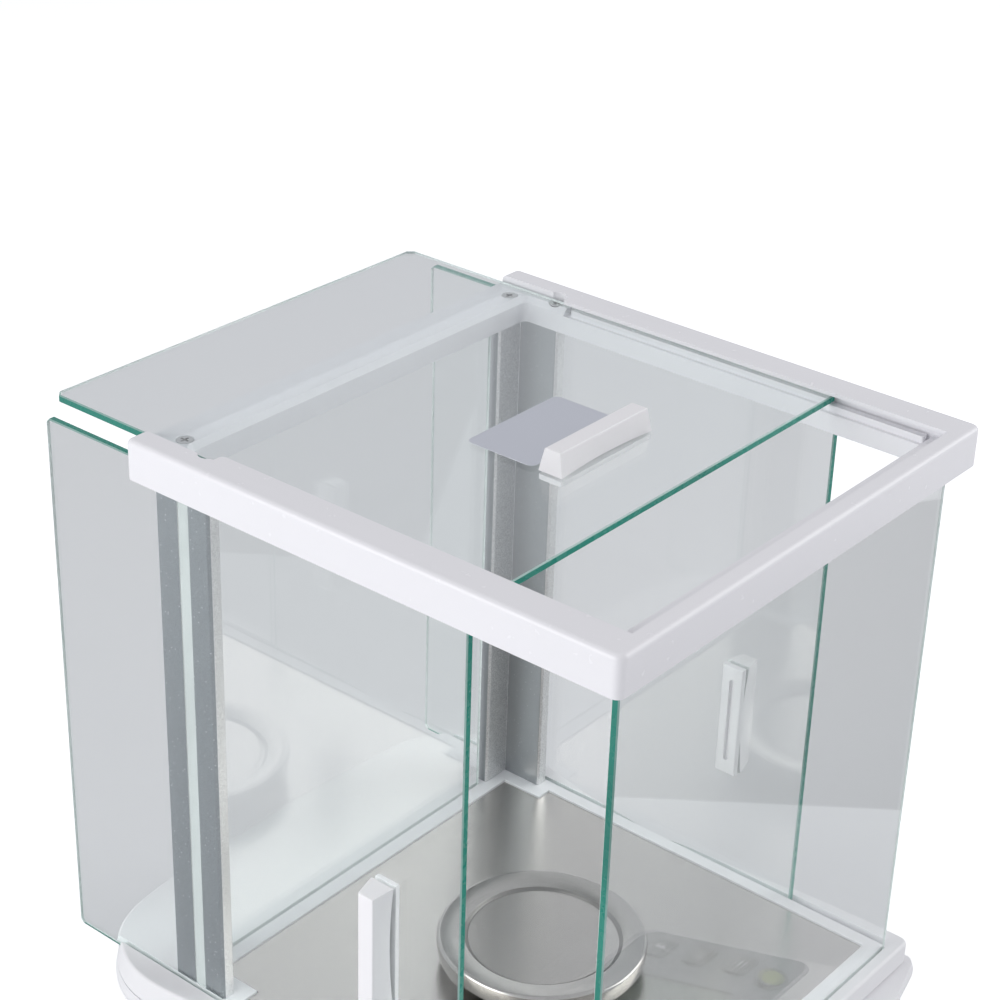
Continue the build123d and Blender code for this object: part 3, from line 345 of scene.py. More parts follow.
@dataclass(frozen=True)
class Metal:
    """Metal with brushed, blasted or plated grain."""

    name: str
    colour: Colour
    roughness: float = 0.3
    brush: Brush = Brush.NONE
    anisotropy: float = 0.0
    grain: float = 900.0
    grain_depth: float = 6 * UM
    variation: float = 0.06
    specks: float = 0.0
    wear: float = 0.2
    streak: float = 6.0
    speck_scale: float = 420.0
    speck_reach: tuple[float, float] = (0.16, 0.06)
    speck_colour: Colour = (0.95, 0.96, 0.97)
    centre: Point3 = (0.0, PAN_Y, 0.0)

    def speckle(self, g: Graph, tone: NodeSocket) -> NodeSocket:
        """Strew light specks over a tone.

        Args:
            g: Graph of the material.
            tone: Colour under the specks.

        Returns:
            The colour socket.
        """
        where = g.place(centre=self.centre)
        dots = g.add("ShaderNodeTexVoronoi", {"Vector": where, "Scale": self.speck_scale})
        start, end = self.speck_reach
        inputs = {"Value": dots, "From Min": start, "From Max": end, "To Max": self.specks}
        return g.tint(g.add("ShaderNodeMapRange", inputs), tone, rgba(self.speck_colour))

    def build(self) -> Material:
        """Build the material."""
        g = Graph(self.name)
        if self.brush is Brush.ALONG_X:
            stretch, scale = (self.streak, self.grain, self.grain), 1.0
        else:
            stretch, scale = EVEN, self.grain
        grain = g.noise(g.place(stretch, self.centre), scale, detail=3.0)
        tone = g.uneven(g.spread(grain, 0.0, 1.0), self.colour, self.variation)
        reach = self.roughness * self.wear
        inputs = {
            "Base Color": self.speckle(g, tone) if self.specks else tone,
            "Metallic": 1.0,
            "Roughness": self.roughness,
        }
        if reach:
            inputs["Roughness"] = g.spread(grain, self.roughness - reach, self.roughness + reach)
        if self.grain_depth:
            inputs["Normal"] = g.bump(grain, self.grain_depth)
        if self.anisotropy:
            inputs["Anisotropic"] = self.anisotropy
            tangent = {"direction_type": "UV_MAP", "uv_map": "grain"}
            inputs["Tangent"] = g.add("ShaderNodeTangent", **tangent)
        return g.finish(g.principled(inputs))


@dataclass(frozen=True)
class TintedClear:
    """Clear acrylic, or a tinted fluid, over something that shows through."""

    name: str
    colour: Colour
    alpha: float
    roughness: float = 0.08
    haze_roughness: float = 0.08
    ior: float = 1.49
    haze: float = 90.0
    grain: float = 120.0
    grain_depth: float = 4 * UM
    clearness: float = 1.3

    def build(self) -> Material:
        """Build the material."""
        g = Graph(self.name)
        where = g.place()
        haze = g.noise(where, self.haze, detail=4.0)
        inputs = {
            "Base Color": rgba(self.colour),
            "Roughness": g.spread(haze, self.roughness, self.roughness + self.haze_roughness),
            "IOR": self.ior,
            "Normal": g.bump(g.noise(where, self.grain), self.grain_depth),
        }
        through = rgba(shade(self.colour, self.clearness))
        clear = g.add("ShaderNodeBsdfTransparent", {"Color": through})
        return g.finish(g.blend(self.alpha, clear, g.principled(inputs)))


def smooth_white(name: str, colour: Colour, roughness: float) -> MouldedPlastic:
    """White moulding with almost no texture."""
    return MouldedPlastic(name, colour, roughness, 3600.0, 0.3 * UM, 0.008, wear=0.015)


def brushed(name: str, colour: Colour, pull: float, variation: float) -> Metal:
    """Steel with fine brushing from side to side, which pulls its highlights out."""
    return Metal(name, colour, 0.27, Brush.ALONG_X, pull, 3000.0, 0.0, variation, wear=0.0)


FINISHES = (
    MouldedPlastic("housing_white", (0.84, 0.84, 0.86), 0.42, 3200.0, 3 * UM),
    smooth_white("frame_white", (0.86, 0.855, 0.885), 0.27),
    # Darker copy of the frame white for the crossbar under the roof glass: painted shade.
    smooth_white("crossbar_white", (0.775, 0.77, 0.80), 0.4),
    smooth_white("handle_white", (0.91, 0.90, 0.92), 0.3),
    MouldedPlastic("seal_strip", (0.53, 0.56, 0.56), 0.7, 1300.0, 40 * UM, 0.16),
    MouldedPlastic("panel_grey", (0.16, 0.185, 0.215), 0.45, 1600.0, 30 * UM, 0.05),
    MouldedPlastic("key_grey", (0.10, 0.115, 0.135), 0.5, 1800.0, 30 * UM),
    MouldedPlastic("key_accent", (0.075, 0.095, 0.125), 0.5, 1800.0, 30 * UM),
    MouldedPlastic("black_moulding", (0.02, 0.021, 0.023), 0.45, 1400.0, 30 * UM, 0.2),
    MouldedPlastic("thumbwheel", (0.03, 0.03, 0.033), 0.5, 1200.0, 40 * UM, 0.2),
    MouldedPlastic("foot_rubber", (0.022, 0.022, 0.022), 0.75, 1600.0, 60 * UM, 0.25),
    MouldedPlastic("collar_grey", (0.05, 0.052, 0.056), 0.45, 1500.0, 30 * UM, 0.1),
    MouldedPlastic("board_green", (0.012, 0.085, 0.04), 0.35, 500.0, 30 * UM, 0.12, 0.4),
    MouldedPlastic("casting_grey", (0.30, 0.31, 0.33), 0.55, 420.0, 120 * UM, 0.06),
    MouldedPlastic("lcd_field", (0.30, 0.37, 0.31), 0.3, 700.0, 4 * UM, 0.03),
    MouldedPlastic("lcd_segment", (0.02, 0.025, 0.025), 0.3, 700.0, 4 * UM, 0.1),
    MouldedPlastic("key_mark", (0.80, 0.82, 0.84), 0.5),
    FloatGlass("pane_glass"),
    GroundEdge("pane_edge", (0.016, 0.20, 0.152), (0.010, 0.13, 0.10)),
    # Pale copy of the ground edge for edge faces that face +x or +y: painted light.
    GroundEdge("pane_edge_pale", (0.74, 0.78, 0.78), (0.58, 0.65, 0.64), 0.12),
    GroundEdge("pane_arris", (0.30, 0.45, 0.42), (0.13, 0.25, 0.22), 0.12),
    brushed("plate_steel", (0.63, 0.61, 0.58), 0.4, 0.03),
    brushed("pan_face", (0.57, 0.55, 0.525), 0.45, 0.05),
    # Darker copy of the pan steel for the step into the well: painted shade.
    Metal("pan_step", (0.27, 0.265, 0.255), 0.4, grain_depth=0.1 * UM),
    Metal("pan_rim", (0.54, 0.525, 0.50), 0.2, grain=2600.0, grain_depth=0.1 * UM,
          variation=0.02),
    Metal("anodised", (0.42, 0.435, 0.45), 0.4, specks=0.3, grain=2600.0, grain_depth=3 * UM),
    # Darker copy of the column anodising for the outward faces: painted shade.
    Metal("anodised_outside", (0.335, 0.36, 0.385), 0.36, specks=0.6, grain=2600.0,
          grain_depth=8 * UM, variation=0.2),
    # Lighter, more speckled copy of the column anodising for the front faces: painted light.
    Metal("anodised_blasted", (0.83, 0.83, 0.835), 0.48, specks=0.9, grain=2600.0,
          grain_depth=16 * UM, variation=0.25),
    Metal("label_foil", (0.66, 0.67, 0.71), 0.4, grain=1400.0, grain_depth=2 * UM,
          variation=0.02),
    Metal("nickel", (0.60, 0.595, 0.59), 0.3, grain=1800.0, grain_depth=0.3 * UM, wear=0.04),
    Metal("zinc", (0.62, 0.63, 0.65), 0.34, grain=500.0),
    Metal("cell_alloy", (0.66, 0.67, 0.69), 0.36, grain=800.0),
    Metal("magnet_plate", (0.25, 0.25, 0.27), 0.42, grain=600.0),
    Metal("contact_gold", (0.83, 0.62, 0.27), 0.25),
    TintedClear("window_clear", (0.62, 0.66, 0.65), 0.18),
    TintedClear("level_fluid", (0.62, 0.74, 0.16), 0.45, 0.05),
    TintedClear("level_bubble", (0.93, 0.97, 0.80), 0.6, 0.05),
)


@cache
def material_of(finish: str) -> Material:
    """Material of a finish, built when it is first used."""
    return next(kind for kind in FINISHES if kind.name == finish).build()


# ------------------------------------------------------------------ mesh helpers
def new_object(name: str, mesh: Mesh, *materials: Material) -> Object:
    """Link a mesh as an object at the origin.

    Args:
        name: Name of the piece.
        mesh: Its mesh, with its place in its points.
        *materials: Its material slots, in order.

    Returns:
        The object.
    """
    piece = bpy.data.objects.new(name, mesh)
    bpy.context.scene.collection.objects.link(piece)
    for material in materials:
        mesh.materials.append(material)
    return piece


def smooth_by_angle(mesh: Mesh, degrees: float, merge: float = 0.0) -> None:
    """Shade smooth, with sharp edges above an angle.

    Args:
        mesh: The mesh.
        degrees: Angle above which an edge stays sharp.
        merge: Distance within which points are merged first, zero for none.
    """
    limit = math.radians(degrees)
    bm = bmesh.new()
    bm.from_mesh(mesh)
    if merge:
        bmesh.ops.remove_doubles(bm, verts=bm.verts, dist=merge)
    for face in bm.faces:
        face.smooth = True
    for edge in bm.edges:
        if len(edge.link_faces) == 2:
            edge.smooth = edge.calc_face_angle(0.0) < limit
    bm.to_mesh(mesh)
    bm.free()


def skin(
    name: str,
    rings: Sequence[Sequence[Point3]],
    finishes: Sequence[str],
    slot_of: Callable[[int], int] = lambda order: 0,
    degrees: float = 35.0,
    looped: bool = False,
) -> Object:
    """Join rings of points into a closed solid.

    Args:
        name: Name of the piece.
        rings: Rings of equal count, in order. A ring of one point is a pole.
        finishes: Finishes of the piece, in the order of its material slots.
        slot_of: Slot of the band after each ring. The two ends have slot 0.
        degrees: Angle above which an edge stays sharp.
        looped: Whether the last ring joins the first, with no ends.

    Returns:
        The piece.
    """
    bm = bmesh.new()
    loops = [[bm.verts.new(point) for point in ring] for ring in rings]
    bands = zip(loops, loops[1:] + (loops[:1] if looped else []))
    for order, (low, high) in enumerate(bands):
        for i in range(max(len(low), len(high))):
            near, far = i % len(low), i % len(high)
            corners = (low[near], low[near + 1 - len(low)], high[far + 1 - len(high)], high[far])
            wall = bm.faces.new(tuple(dict.fromkeys(corners)))
            wall.material_index = slot_of(order)
    if not looped:
        for end in (loops[0], loops[-1]):
            if len(end) > 1:
                bm.faces.new(end)
    bmesh.ops.remove_doubles(bm, verts=bm.verts, dist=MERGE)
    bmesh.ops.recalc_face_normals(bm, faces=bm.faces)
    mesh = bpy.data.meshes.new(name)
    bm.to_mesh(mesh)
    bm.free()
    smooth_by_angle(mesh, degrees)
    return new_object(name, mesh, *map(material_of, finishes))


def turned(profile: Sequence[Point2], centre: Point2, segments: int) -> list[list[Point3]]:
    """Turn a profile round an upright axis.

    Args:
        profile: Points of radius and height.
        centre: Plan place of the axis.
        segments: Steps round the axis.

    Returns:
        A ring for each point of the profile, or a single point for one on the axis.
    """
    turns = [2 * math.pi * step / segments for step in range(segments)]
    return [
        [
            (centre[0] + radius * math.cos(turn), centre[1] + radius * math.sin(turn), height)
            for turn in (turns if radius > MERGE else turns[:1])
        ]
        for radius, height in profile
    ]


def arc(centre: Point2, radius: float, start: float, end: float, steps: int) -> list[Point2]:
    """Points of an arc, in even steps from one angle to another, in degrees."""
    angles = (math.radians(start + (end - start) * step / steps) for step in range(steps + 1))
    return [(centre[0] + radius * math.cos(a), centre[1] + radius * math.sin(a)) for a in angles]


def inset_outline(outline: Sequence[Point2], depth: float) -> list[Point2]:
    """Move every side of a convex outline inwards.

    Args:
        outline: Corners, anticlockwise.
        depth: Distance to move each side.

    Returns:
        The inner corners.
    """
    inner = []
    for i, corner in enumerate(outline):
        here = Vector(corner)
        before = here - Vector(outline[i - 1])
        after = Vector(outline[(i + 1) % len(outline)]) - here
        normals = [Vector((-side.y, side.x)).normalized() for side in (before, after)]
        bisector = (normals[0] + normals[1]).normalized()
        inner.append(tuple(here + bisector * (depth / bisector.dot(normals[0]))))
    return inner


def refined(
    node: str,
    name: str,
    finish: str,
    edge: float,
    degrees: float = 38.0,
    flat: float = 0.6,
) -> Object:
    """Copy a frame node, soften its edges and stand it in for the node.

    Args:
        node: Frame node to copy.
        name: Name of the new piece.
        finish: Its finish.
        edge: Width of the softened edges.
        degrees: Angle above which an edge is softened.
        flat: Angle under which triangles are joined into one face.

    Returns:
        The piece, riding on the node's body.
    """
    bm = bmesh.new()
    bm.from_mesh(frame["nodes"][node].data)
    bmesh.ops.remove_doubles(bm, verts=bm.verts, dist=2 * UM)
    bmesh.ops.dissolve_limit(
        bm,
        angle_limit=math.radians(flat),
        verts=bm.verts,
        edges=bm.edges,
        use_dissolve_boundaries=False,
    )
    for face in bm.faces:
        face.material_index = 0
    mesh = bpy.data.meshes.new(name)
    bm.to_mesh(mesh)
    bm.free()
    mesh.validate()
    smooth_by_angle(mesh, degrees)
    piece = new_object(name, mesh, material_of(finish))
    bevel = piece.modifiers.new("soft_edges", "BEVEL")
    bevel.width = edge
    bevel.segments = 3
    bevel.limit_method = "ANGLE"
    bevel.angle_limit = math.radians(degrees)
    bevel.use_clamp_overlap = True
    bevel.harden_normals = True
    bake(piece)
    return mount(piece, node)


def bake(piece: Object) -> None:
    """Apply a piece's modifiers to its mesh.

    Args:
        piece: The piece.
    """
    bpy.context.view_layer.update()
    depsgraph = bpy.context.evaluated_depsgraph_get()
    mesh = bpy.data.meshes.new_from_object(piece.evaluated_get(depsgraph))
    piece.modifiers.clear()
    piece.data, old = mesh, piece.data
    mesh.name = piece.name
    if old.users == 0:
        bpy.data.meshes.remove(old)


def ease(piece: Object, toward: Point3, gap: float) -> None:
    """Draw a piece's seat back a little, so that it and what it sits on both show.

    Args:
        piece: The piece.
        toward: Unit direction from the piece to its seat.
        gap: Distance to draw back.
    """
    way = Vector(toward)
    points = piece.data.vertices
    seat = max(point.co.dot(way) for point in points) - 20 * UM
    for point in points:
        if point.co.dot(way) > seat:
            point.co -= way * gap
    piece.data.update()


def repaint(piece: Object, finish: str, chosen: Callable[[MeshPolygon], bool]) -> None:
    """Give some faces of a piece another finish.

    Args:
        piece: The piece.
        finish: Finish of the chosen faces.
        chosen: Whether a face is one of them.
    """
    slot = len(piece.data.materials)
    piece.data.materials.append(material_of(finish))
    for face in piece.data.polygons:
        if chosen(face):
            face.material_index = slot


def grain_map(piece: Object, scale: float = 4.0) -> None:
    """Lay a flat map on a piece, whose first direction is the brushing's.

    Args:
        piece: The piece.
        scale: Map units per metre.
    """
    mesh = piece.data
    layer = mesh.uv_layers.new(name="grain")
    for loop in mesh.loops:
        layer.data[loop.index].uv = mesh.vertices[loop.vertex_index].co.xy * scale


def mount(piece: Object, node: str) -> Object:
    """Ride a piece on the body of the node that it stands for.

    Args:
        piece: The new piece.
        node: The frame node.

    Returns:
        The piece.
    """
    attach(piece, frame["nodes"][node]["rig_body"])
    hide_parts(node)
    log.info("piece %s stands for %s", piece.name, node)
    return piece


def add_on(piece: Object, body: str) -> None:
    """Ride an extra piece on a body.

    Args:
        piece: The extra piece.
        body: The body.
    """
    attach(piece, body)
    log.info("piece %s rides on %s", piece.name, body)


def dress(finish: str, *nodes: str) -> None:
    """Give frame nodes a finish, their shapes as they are.

    Args:
        finish: The finish.
        *nodes: The frame nodes.
    """
    material = material_of(finish)
    for node in nodes:
        materials = frame["nodes"][node].data.materials
        if not materials:
            materials.append(material)
        for i in range(len(materials)):
            materials[i] = material
        log.info("node %s dressed in %s", node, finish)


# ------------------------------------------------------------------ repeats
class Repeat(Nodes):
    """A geometry node tree that sets one shape at every point of its mesh."""

    def __init__(self, name: str, sizes: dict[str, float]) -> None:
        """Start the tree with its named sizes.

        Args:
            name: Name of the tree.
            sizes: Named inputs and their values.
        """
        super().__init__(bpy.data.node_groups.new(name, "GeometryNodeTree"))
        faces = self.tree.interface
        kinds = {"Places": "Geometry", "Finish": "Material", **dict.fromkeys(sizes, "Float")}
        for label, kind in kinds.items():
            faces.new_socket(label, in_out="INPUT", socket_type=f"NodeSocket{kind}")
        faces.new_socket("Geometry", in_out="OUTPUT", socket_type="NodeSocketGeometry")
        self.sizes = sizes
        self.given = self.add("NodeGroupInput").outputs

    def join(self, x: str, y: str, z: str) -> Node:
        """Join three named sizes into a vector."""
        inputs = {"X": self.given[x], "Y": self.given[y], "Z": self.given[z]}
        return self.add("ShaderNodeCombineXYZ", inputs)

    def cone(self, sides: int) -> Node:
        """Add a cone of the sizes that bear the names of its inputs."""
        sizes = {name: self.given[name] for name in ("Radius Top", "Radius Bottom", "Depth")}
        return self.add("GeometryNodeMeshCone", {"Vertices": sides, **sizes})

    def close(self, shape: Source, lean: Point3 = ORIGIN) -> None:
        """Set the shape on the points, realize it and set its material.

        Args:
            shape: Node that makes one shape.
            lean: Turn of every shape, in radians.
        """
        turn = self.add("GeometryNodeTransform", {"Geometry": shape, "Rotation": lean})
        inputs = {"Points": self.given["Places"], "Instance": turn}
        spread = self.add("GeometryNodeInstanceOnPoints", inputs)
        real = self.add("GeometryNodeRealizeInstances", {"Geometry": spread})
        inputs = {"Geometry": real, "Material": self.given["Finish"]}
        self.add("NodeGroupOutput", {"Geometry": self.add("GeometryNodeSetMaterial", inputs)})

    def make(self, name: str, places: Iterable[Point3], finish: str) -> Object:
        """Run the tree at some places and keep the plain mesh.

        Args:
            name: Name of the piece.
            places: Points that each get one copy.
            finish: Finish of the copies.

        Returns:
            The piece.
        """
        mesh = bpy.data.meshes.new(name)
        mesh.from_pydata([tuple(place) for place in places], [], [])
        piece = new_object(name, mesh)
        modifier = piece.modifiers.new("repeat", "NODES")
        modifier.node_group = self.tree
        values = {"Finish": material_of(finish), **self.sizes}
        for item in self.tree.interface.items_tree:
            if item.item_type == "SOCKET" and item.name in values:
                modifier[item.identifier] = values[item.name]
        bake(piece)
        smooth_by_angle(piece.data, degrees=30.0, merge=MERGE)
        return piece


@dataclass(frozen=True)
class CrossHead:
    """Round screw head with a cross recess."""

    top_r: float
    foot_r: float
    height: float
    cross: float
    cross_share: float = 0.24
    sides: int = 40

    def tree(self, name: str) -> Repeat:
        """Make the tree that sets heads with their tops at the given points.

        Args:
            name: Name of the tree.

        Returns:
            The tree.
        """
        rep = Repeat(
            name,
            {
                "Radius Top": self.top_r,
                "Radius Bottom": self.foot_r,
                "Depth": self.height,
                "Cross Length": self.cross,
                "Cross Width": self.cross * self.cross_share,
            },
        )
        head = rep.cone(self.sides)
        drop = rep.add("ShaderNodeMath", {0: rep.given["Depth"], 1: -1.0}, operation="MULTIPLY")
        down = rep.add("ShaderNodeCombineXYZ", {"Z": drop})
        lower = rep.add("GeometryNodeTransform", {"Geometry": head, "Translation": down})
        cut = rep.add(
            "GeometryNodeMeshBoolean", {"Mesh 1": lower}, operation="DIFFERENCE", solver="EXACT"
        )
        for x, y in (("Cross Length", "Cross Width"), ("Cross Width", "Cross Length")):
            size = rep.join(x, y, "Depth")
            rep.feed(cut, {"Mesh 2": rep.add("GeometryNodeMeshCube", {"Size": size})})
        rep.close(cut)
        return rep


def pegs(name: str, radius: float, length: float, sides: int, tip_share: float = 0.8) -> Repeat:
    """Round pegs centred on the given points, square to the console's slope.

    Args:
        name: Name of the tree.
        radius: Radius of a peg.
        length: Length of a peg.
        sides: Faces round it.
        tip_share: Radius of its tip, as a share of its own.

    Returns:
        The tree.
    """
    sizes = {"Radius Top": radius * tip_share, "Radius Bottom": radius, "Depth": length}
    rep = Repeat(name, sizes)
    rep.close(rep.cone(sides), LEAN)
    return rep


def bars(name: str, length: float, width: float, height: float) -> Repeat:
    """Flat bars centred on the given points, along the console's slope.

    Args:
        name: Name of the tree.
        length: Length of a bar, from side to side.
        width: Width of a bar, up the slope.
        height: Height of a bar.

    Returns:
        The tree.
    """
    rep = Repeat(name, {"Bar Length": length, "Bar Width": width, "Bar Height": height})
    rep.close(rep.add("GeometryNodeMeshCube", {"Size": rep.join(*rep.sizes)}), LEAN)
    return rep


# ------------------------------------------------------------------ draught shield
@dataclass
class Pane:
    """One glass pane, a slab with ground edges and small arrises."""

    node: str
    name: str
    bevel: float = 0.0
    arris: float = 0.45 * MM
    painted_light_facing: float = 0.6

    def outline(self, low: Point2, high: Point2) -> list[Point2]:
        """Corners of the pane, its far ones cut at an angle.

        Args:
            low: Lowest corner, the first value along the sliding direction.
            high: Highest corner.

        Returns:
            Corners, anticlockwise.
        """
        (a0, b0), (a1, b1), c = low, high, self.bevel
        if not c:
            return [(a0, b0), (a1, b0), (a1, b1), (a0, b1)]
        return [(a0, b0), (a1 - c, b0), (a1, b0 + c), (a1, b1 - c), (a1 - c, b1), (a0, b1)]

    def build(self) -> None:
        """Build the pane in its node's place."""
        low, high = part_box(self.node)
        thin = min(range(3), key=lambda i: high[i] - low[i])
        first, second = {0: (1, 2), 1: (0, 2), 2: (1, 0)}[thin]
        outline = self.outline((low[first], low[second]), (high[first], high[second]))
        inner = inset_outline(outline, self.arris)
        near, far = low[thin], high[thin]
        rings = []
        for corners, depth in (
            (inner, near),
            (outline, near + self.arris),
            (outline, far - self.arris),
            (inner, far),
        ):
            places = [{first: a, second: b, thin: depth} for a, b in corners]
            rings.append([tuple(place[axis] for axis in range(3)) for place in places])
        bands = (PaneSlot.ARRIS, PaneSlot.EDGE, PaneSlot.ARRIS)
        finishes = ("pane_glass", "pane_edge", "pane_arris")
        piece = skin(self.name, rings, finishes, lambda order: bands[order], degrees=10.0)
        # Edge faces that face +x or +y get the pale copy of the ground edge: painted light.
        repaint(
            piece,
            "pane_edge_pale",
            lambda face: face.material_index != PaneSlot.FACE
            and max(face.normal.x, face.normal.y) > self.painted_light_facing,
        )
        mount(piece, self.node)


@dataclass
class DraughtShield:
    """The five panes, with the bar handles and plates on the doors."""

    panes: tuple[Pane, ...] = (
        Pane("front_glass", "front_pane"),
        Pane("rear_glass", "rear_pane"),
        Pane("left_door_glass", "left_door_pane", 1.6 * MM),
        Pane("right_door_glass", "right_door_pane", 1.6 * MM),
        Pane("roof_glass", "roof_pane", 2.5 * MM),
    )
    doors: tuple[tuple[str, Point3], ...] = (
        ("left_door", (1.0, 0.0, 0.0)),
        ("right_door", (-1.0, 0.0, 0.0)),
        ("roof", (0.0, 0.0, -1.0)),
    )
    handle_edge: float = 0.35 * MM
    plate_edge: float = 0.2 * MM
    foil_edge: float = 0.03 * MM
    seat_gap: float = 0.08 * MM

    def build(self) -> None:
        """Build the panes and the furniture of the doors."""
        for pane in self.panes:
            pane.build()
        white = "handle_white"
        for door, inward in self.doors:
            bar = refined(f"{door}_handle", f"{door}_bar", white, self.handle_edge, STEEP)
            ease(bar, inward, self.seat_gap)
            plate = refined(f"{door}_backing", f"{door}_plate", white, self.plate_edge, STEEP)
            ease(plate, tuple(-part for part in inward), self.seat_gap)
        label = refined("roof_label", "roof_foil", "label_foil", self.foil_edge, STEEP)
        ease(label, (0.0, 0.0, -1.0), self.seat_gap / 2)


@dataclass
class TopFrame:
    """White frame round the roof, with its screws and glides."""

    edge: float = 0.35 * MM
    screw_places: tuple[Point2, ...] = ((88.3 * MM, 97.1 * MM), (94.9 * MM, 78.5 * MM))
    bar_reach: float = 6.0 * MM
    bar_half: float = 60.0 * MM
    head: CrossHead = CrossHead(3.05 * MM, 1.5 * MM, 1.9 * MM, 3.6 * MM)

    def build(self) -> None:
        """Build the frame, its screws and its glides."""
        ring = refined("top_frame", "roof_frame", "frame_white", self.edge)
        bar_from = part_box("rear_glass")[0].y - self.bar_reach
        # The crossbar's faces get the darker copy of the frame white: painted shade under the roof
        # glass.
        repaint(
            ring,
            "crossbar_white",
            lambda face: face.center.y > bar_from and abs(face.center.x) < self.bar_half,
        )
        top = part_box("frame_screws")[1].z
        places = [(side * x, y + PAN_Y, top) for side in (-1, 1) for x, y in self.screw_places]
        heads = self.head.tree("countersunk_heads")
        mount(heads.make("roof_frame_screws", places, "nickel"), "frame_screws")
        dress("frame_white", "roof_glides")


@dataclass
class Columns:
    """Aluminium columns with their sealing strips."""

    edge: float = 0.25 * MM
    facing: float = 0.7

    def build(self) -> None:
        """Build the columns and dress their strips and screws."""
        for side, outward in (("left", -1.0), ("right", 1.0)):
            post = refined(f"{side}_column", f"{side}_post", "anodised", self.edge)
            # Front faces get a lighter copy and outward faces a darker copy of the anodising:
            # painted light and painted shade.
            repaint(post, "anodised_blasted", lambda face: face.normal.y < -self.facing)
            repaint(
                post, "anodised_outside", lambda face: face.normal.x * outward > self.facing
            )
        dress("seal_strip", "column_seals")
        dress("zinc", "column_screws")


# ------------------------------------------------------------------ deck and pan
@dataclass
class Deck:
    """White deck, the stainless plate let into it and the stem's collar."""

    edge: float = 0.3 * MM
    plate_edge: float = 0.15 * MM

    def build(self) -> None:
        """Build the deck and its plate."""
        refined("upper_shell", "deck", "housing_white", self.edge)
        grain_map(refined("floor_plate", "chamber_plate", "plate_steel", self.plate_edge))
        dress("collar_grey", "pan_collar")


@dataclass
class WeighingPan:
    """Spun steel pan with a sunk middle, on its stem."""

    radius: float = 40.0 * MM
    top: float = 14.3 * MM
    rim_r: float = 1.3 * MM
    well_r: float = 30.5 * MM
    flat_share: float = 0.4
    flat_inset: float = 2.0 * MM
    toe_inset: float = 1.6 * MM
    toe_r: float = 0.6 * MM
    lip_inset: float = 0.1 * MM
    lip_drop: float = 0.4 * MM
    lip_r: float = 0.45 * MM
    crown_inset: float = 4.0 * MM
    crown_rise: float = 0.62 * MM
    ring_drop: float = 1.5 * MM
    well_drop: float = 1.0 * MM
    skirt: float = 7.3 * MM
    skirt_levels: Point3 = (0.45, 0.8, 0.5)
    waist_share: float = 0.4
    sheet: float = 1.0 * MM
    bulge: float = 0.5 * MM
    fold: float = 0.3 * MM
    fold_drop: float = 2.2 * MM
    hub_r: float = 7.0 * MM
    hub_h: float = 4.0 * MM
    segments: int = 192

    def profile(self) -> tuple[list[Point2], dict[PanSlot, range]]:
        """Profile of the pan, from the middle of its top round to the middle of its hub.

        Returns:
            Points of radius and height, and the bands of each finish but the first.
        """
        ring_low = self.top - self.ring_drop
        well = ring_low - self.well_drop
        under = well - self.sheet
        low = self.top - self.skirt
        inner = self.radius - self.sheet
        straight, waist, inside = self.skirt_levels
        points = [
            (0.0, well),
            (self.well_r * self.flat_share, well),
            (self.well_r - self.flat_inset, well),
        ]
        step_from = len(points)
        toe = (self.well_r - self.toe_inset, well + self.toe_r)
        lip = (self.well_r + self.lip_inset, ring_low - self.lip_drop)
        rim = (self.radius - self.rim_r, self.top - self.rim_r)
        points += arc(toe, self.toe_r, -90, -20, 5) + arc(lip, self.lip_r, 155, 100, 4)
        ring_from = len(points) - 2
        points += [
            (self.well_r + self.crown_inset, ring_low + self.crown_rise),
            *arc(rim, self.rim_r, 96, 0, 9),
            (self.radius, self.top - self.skirt * straight),
            (self.radius - self.bulge * self.waist_share, self.top - self.skirt * waist),
            (self.radius - self.bulge, low),
        ]
        under_from = len(points) - 1
        points += [
            (inner - self.bulge, low),
            (inner, self.top - self.skirt * inside),
            (inner - self.fold, self.top - self.fold_drop),
            (self.well_r, ring_low - self.sheet),
            (self.well_r - self.sheet, under),
            (self.hub_r, under),
            (self.hub_r, under - self.hub_h),
            (0.0, under - self.hub_h),
        ]
        bands = {
            PanSlot.STEP: range(step_from, ring_from),
            PanSlot.RIM: range(ring_from, under_from),
        }
        return [(r, h + PLATE_Z) for r, h in points], bands

    def build(self) -> None:
        """Build the pan and dress its stem."""
        points, bands = self.profile()
        # The step into the well gets the darker copy of the pan steel: painted shade.
        piece = skin(
            "weighing_pan",
            turned(points, (0.0, PAN_Y), self.segments),
            ("pan_face", "pan_rim", "pan_step"),
            lambda order: next((slot for slot in bands if order in bands[slot]), PanSlot.FACE),
            degrees=28.0,
        )
        grain_map(piece)
        mount(piece, "pan")
        dress("zinc", "pan_stem")


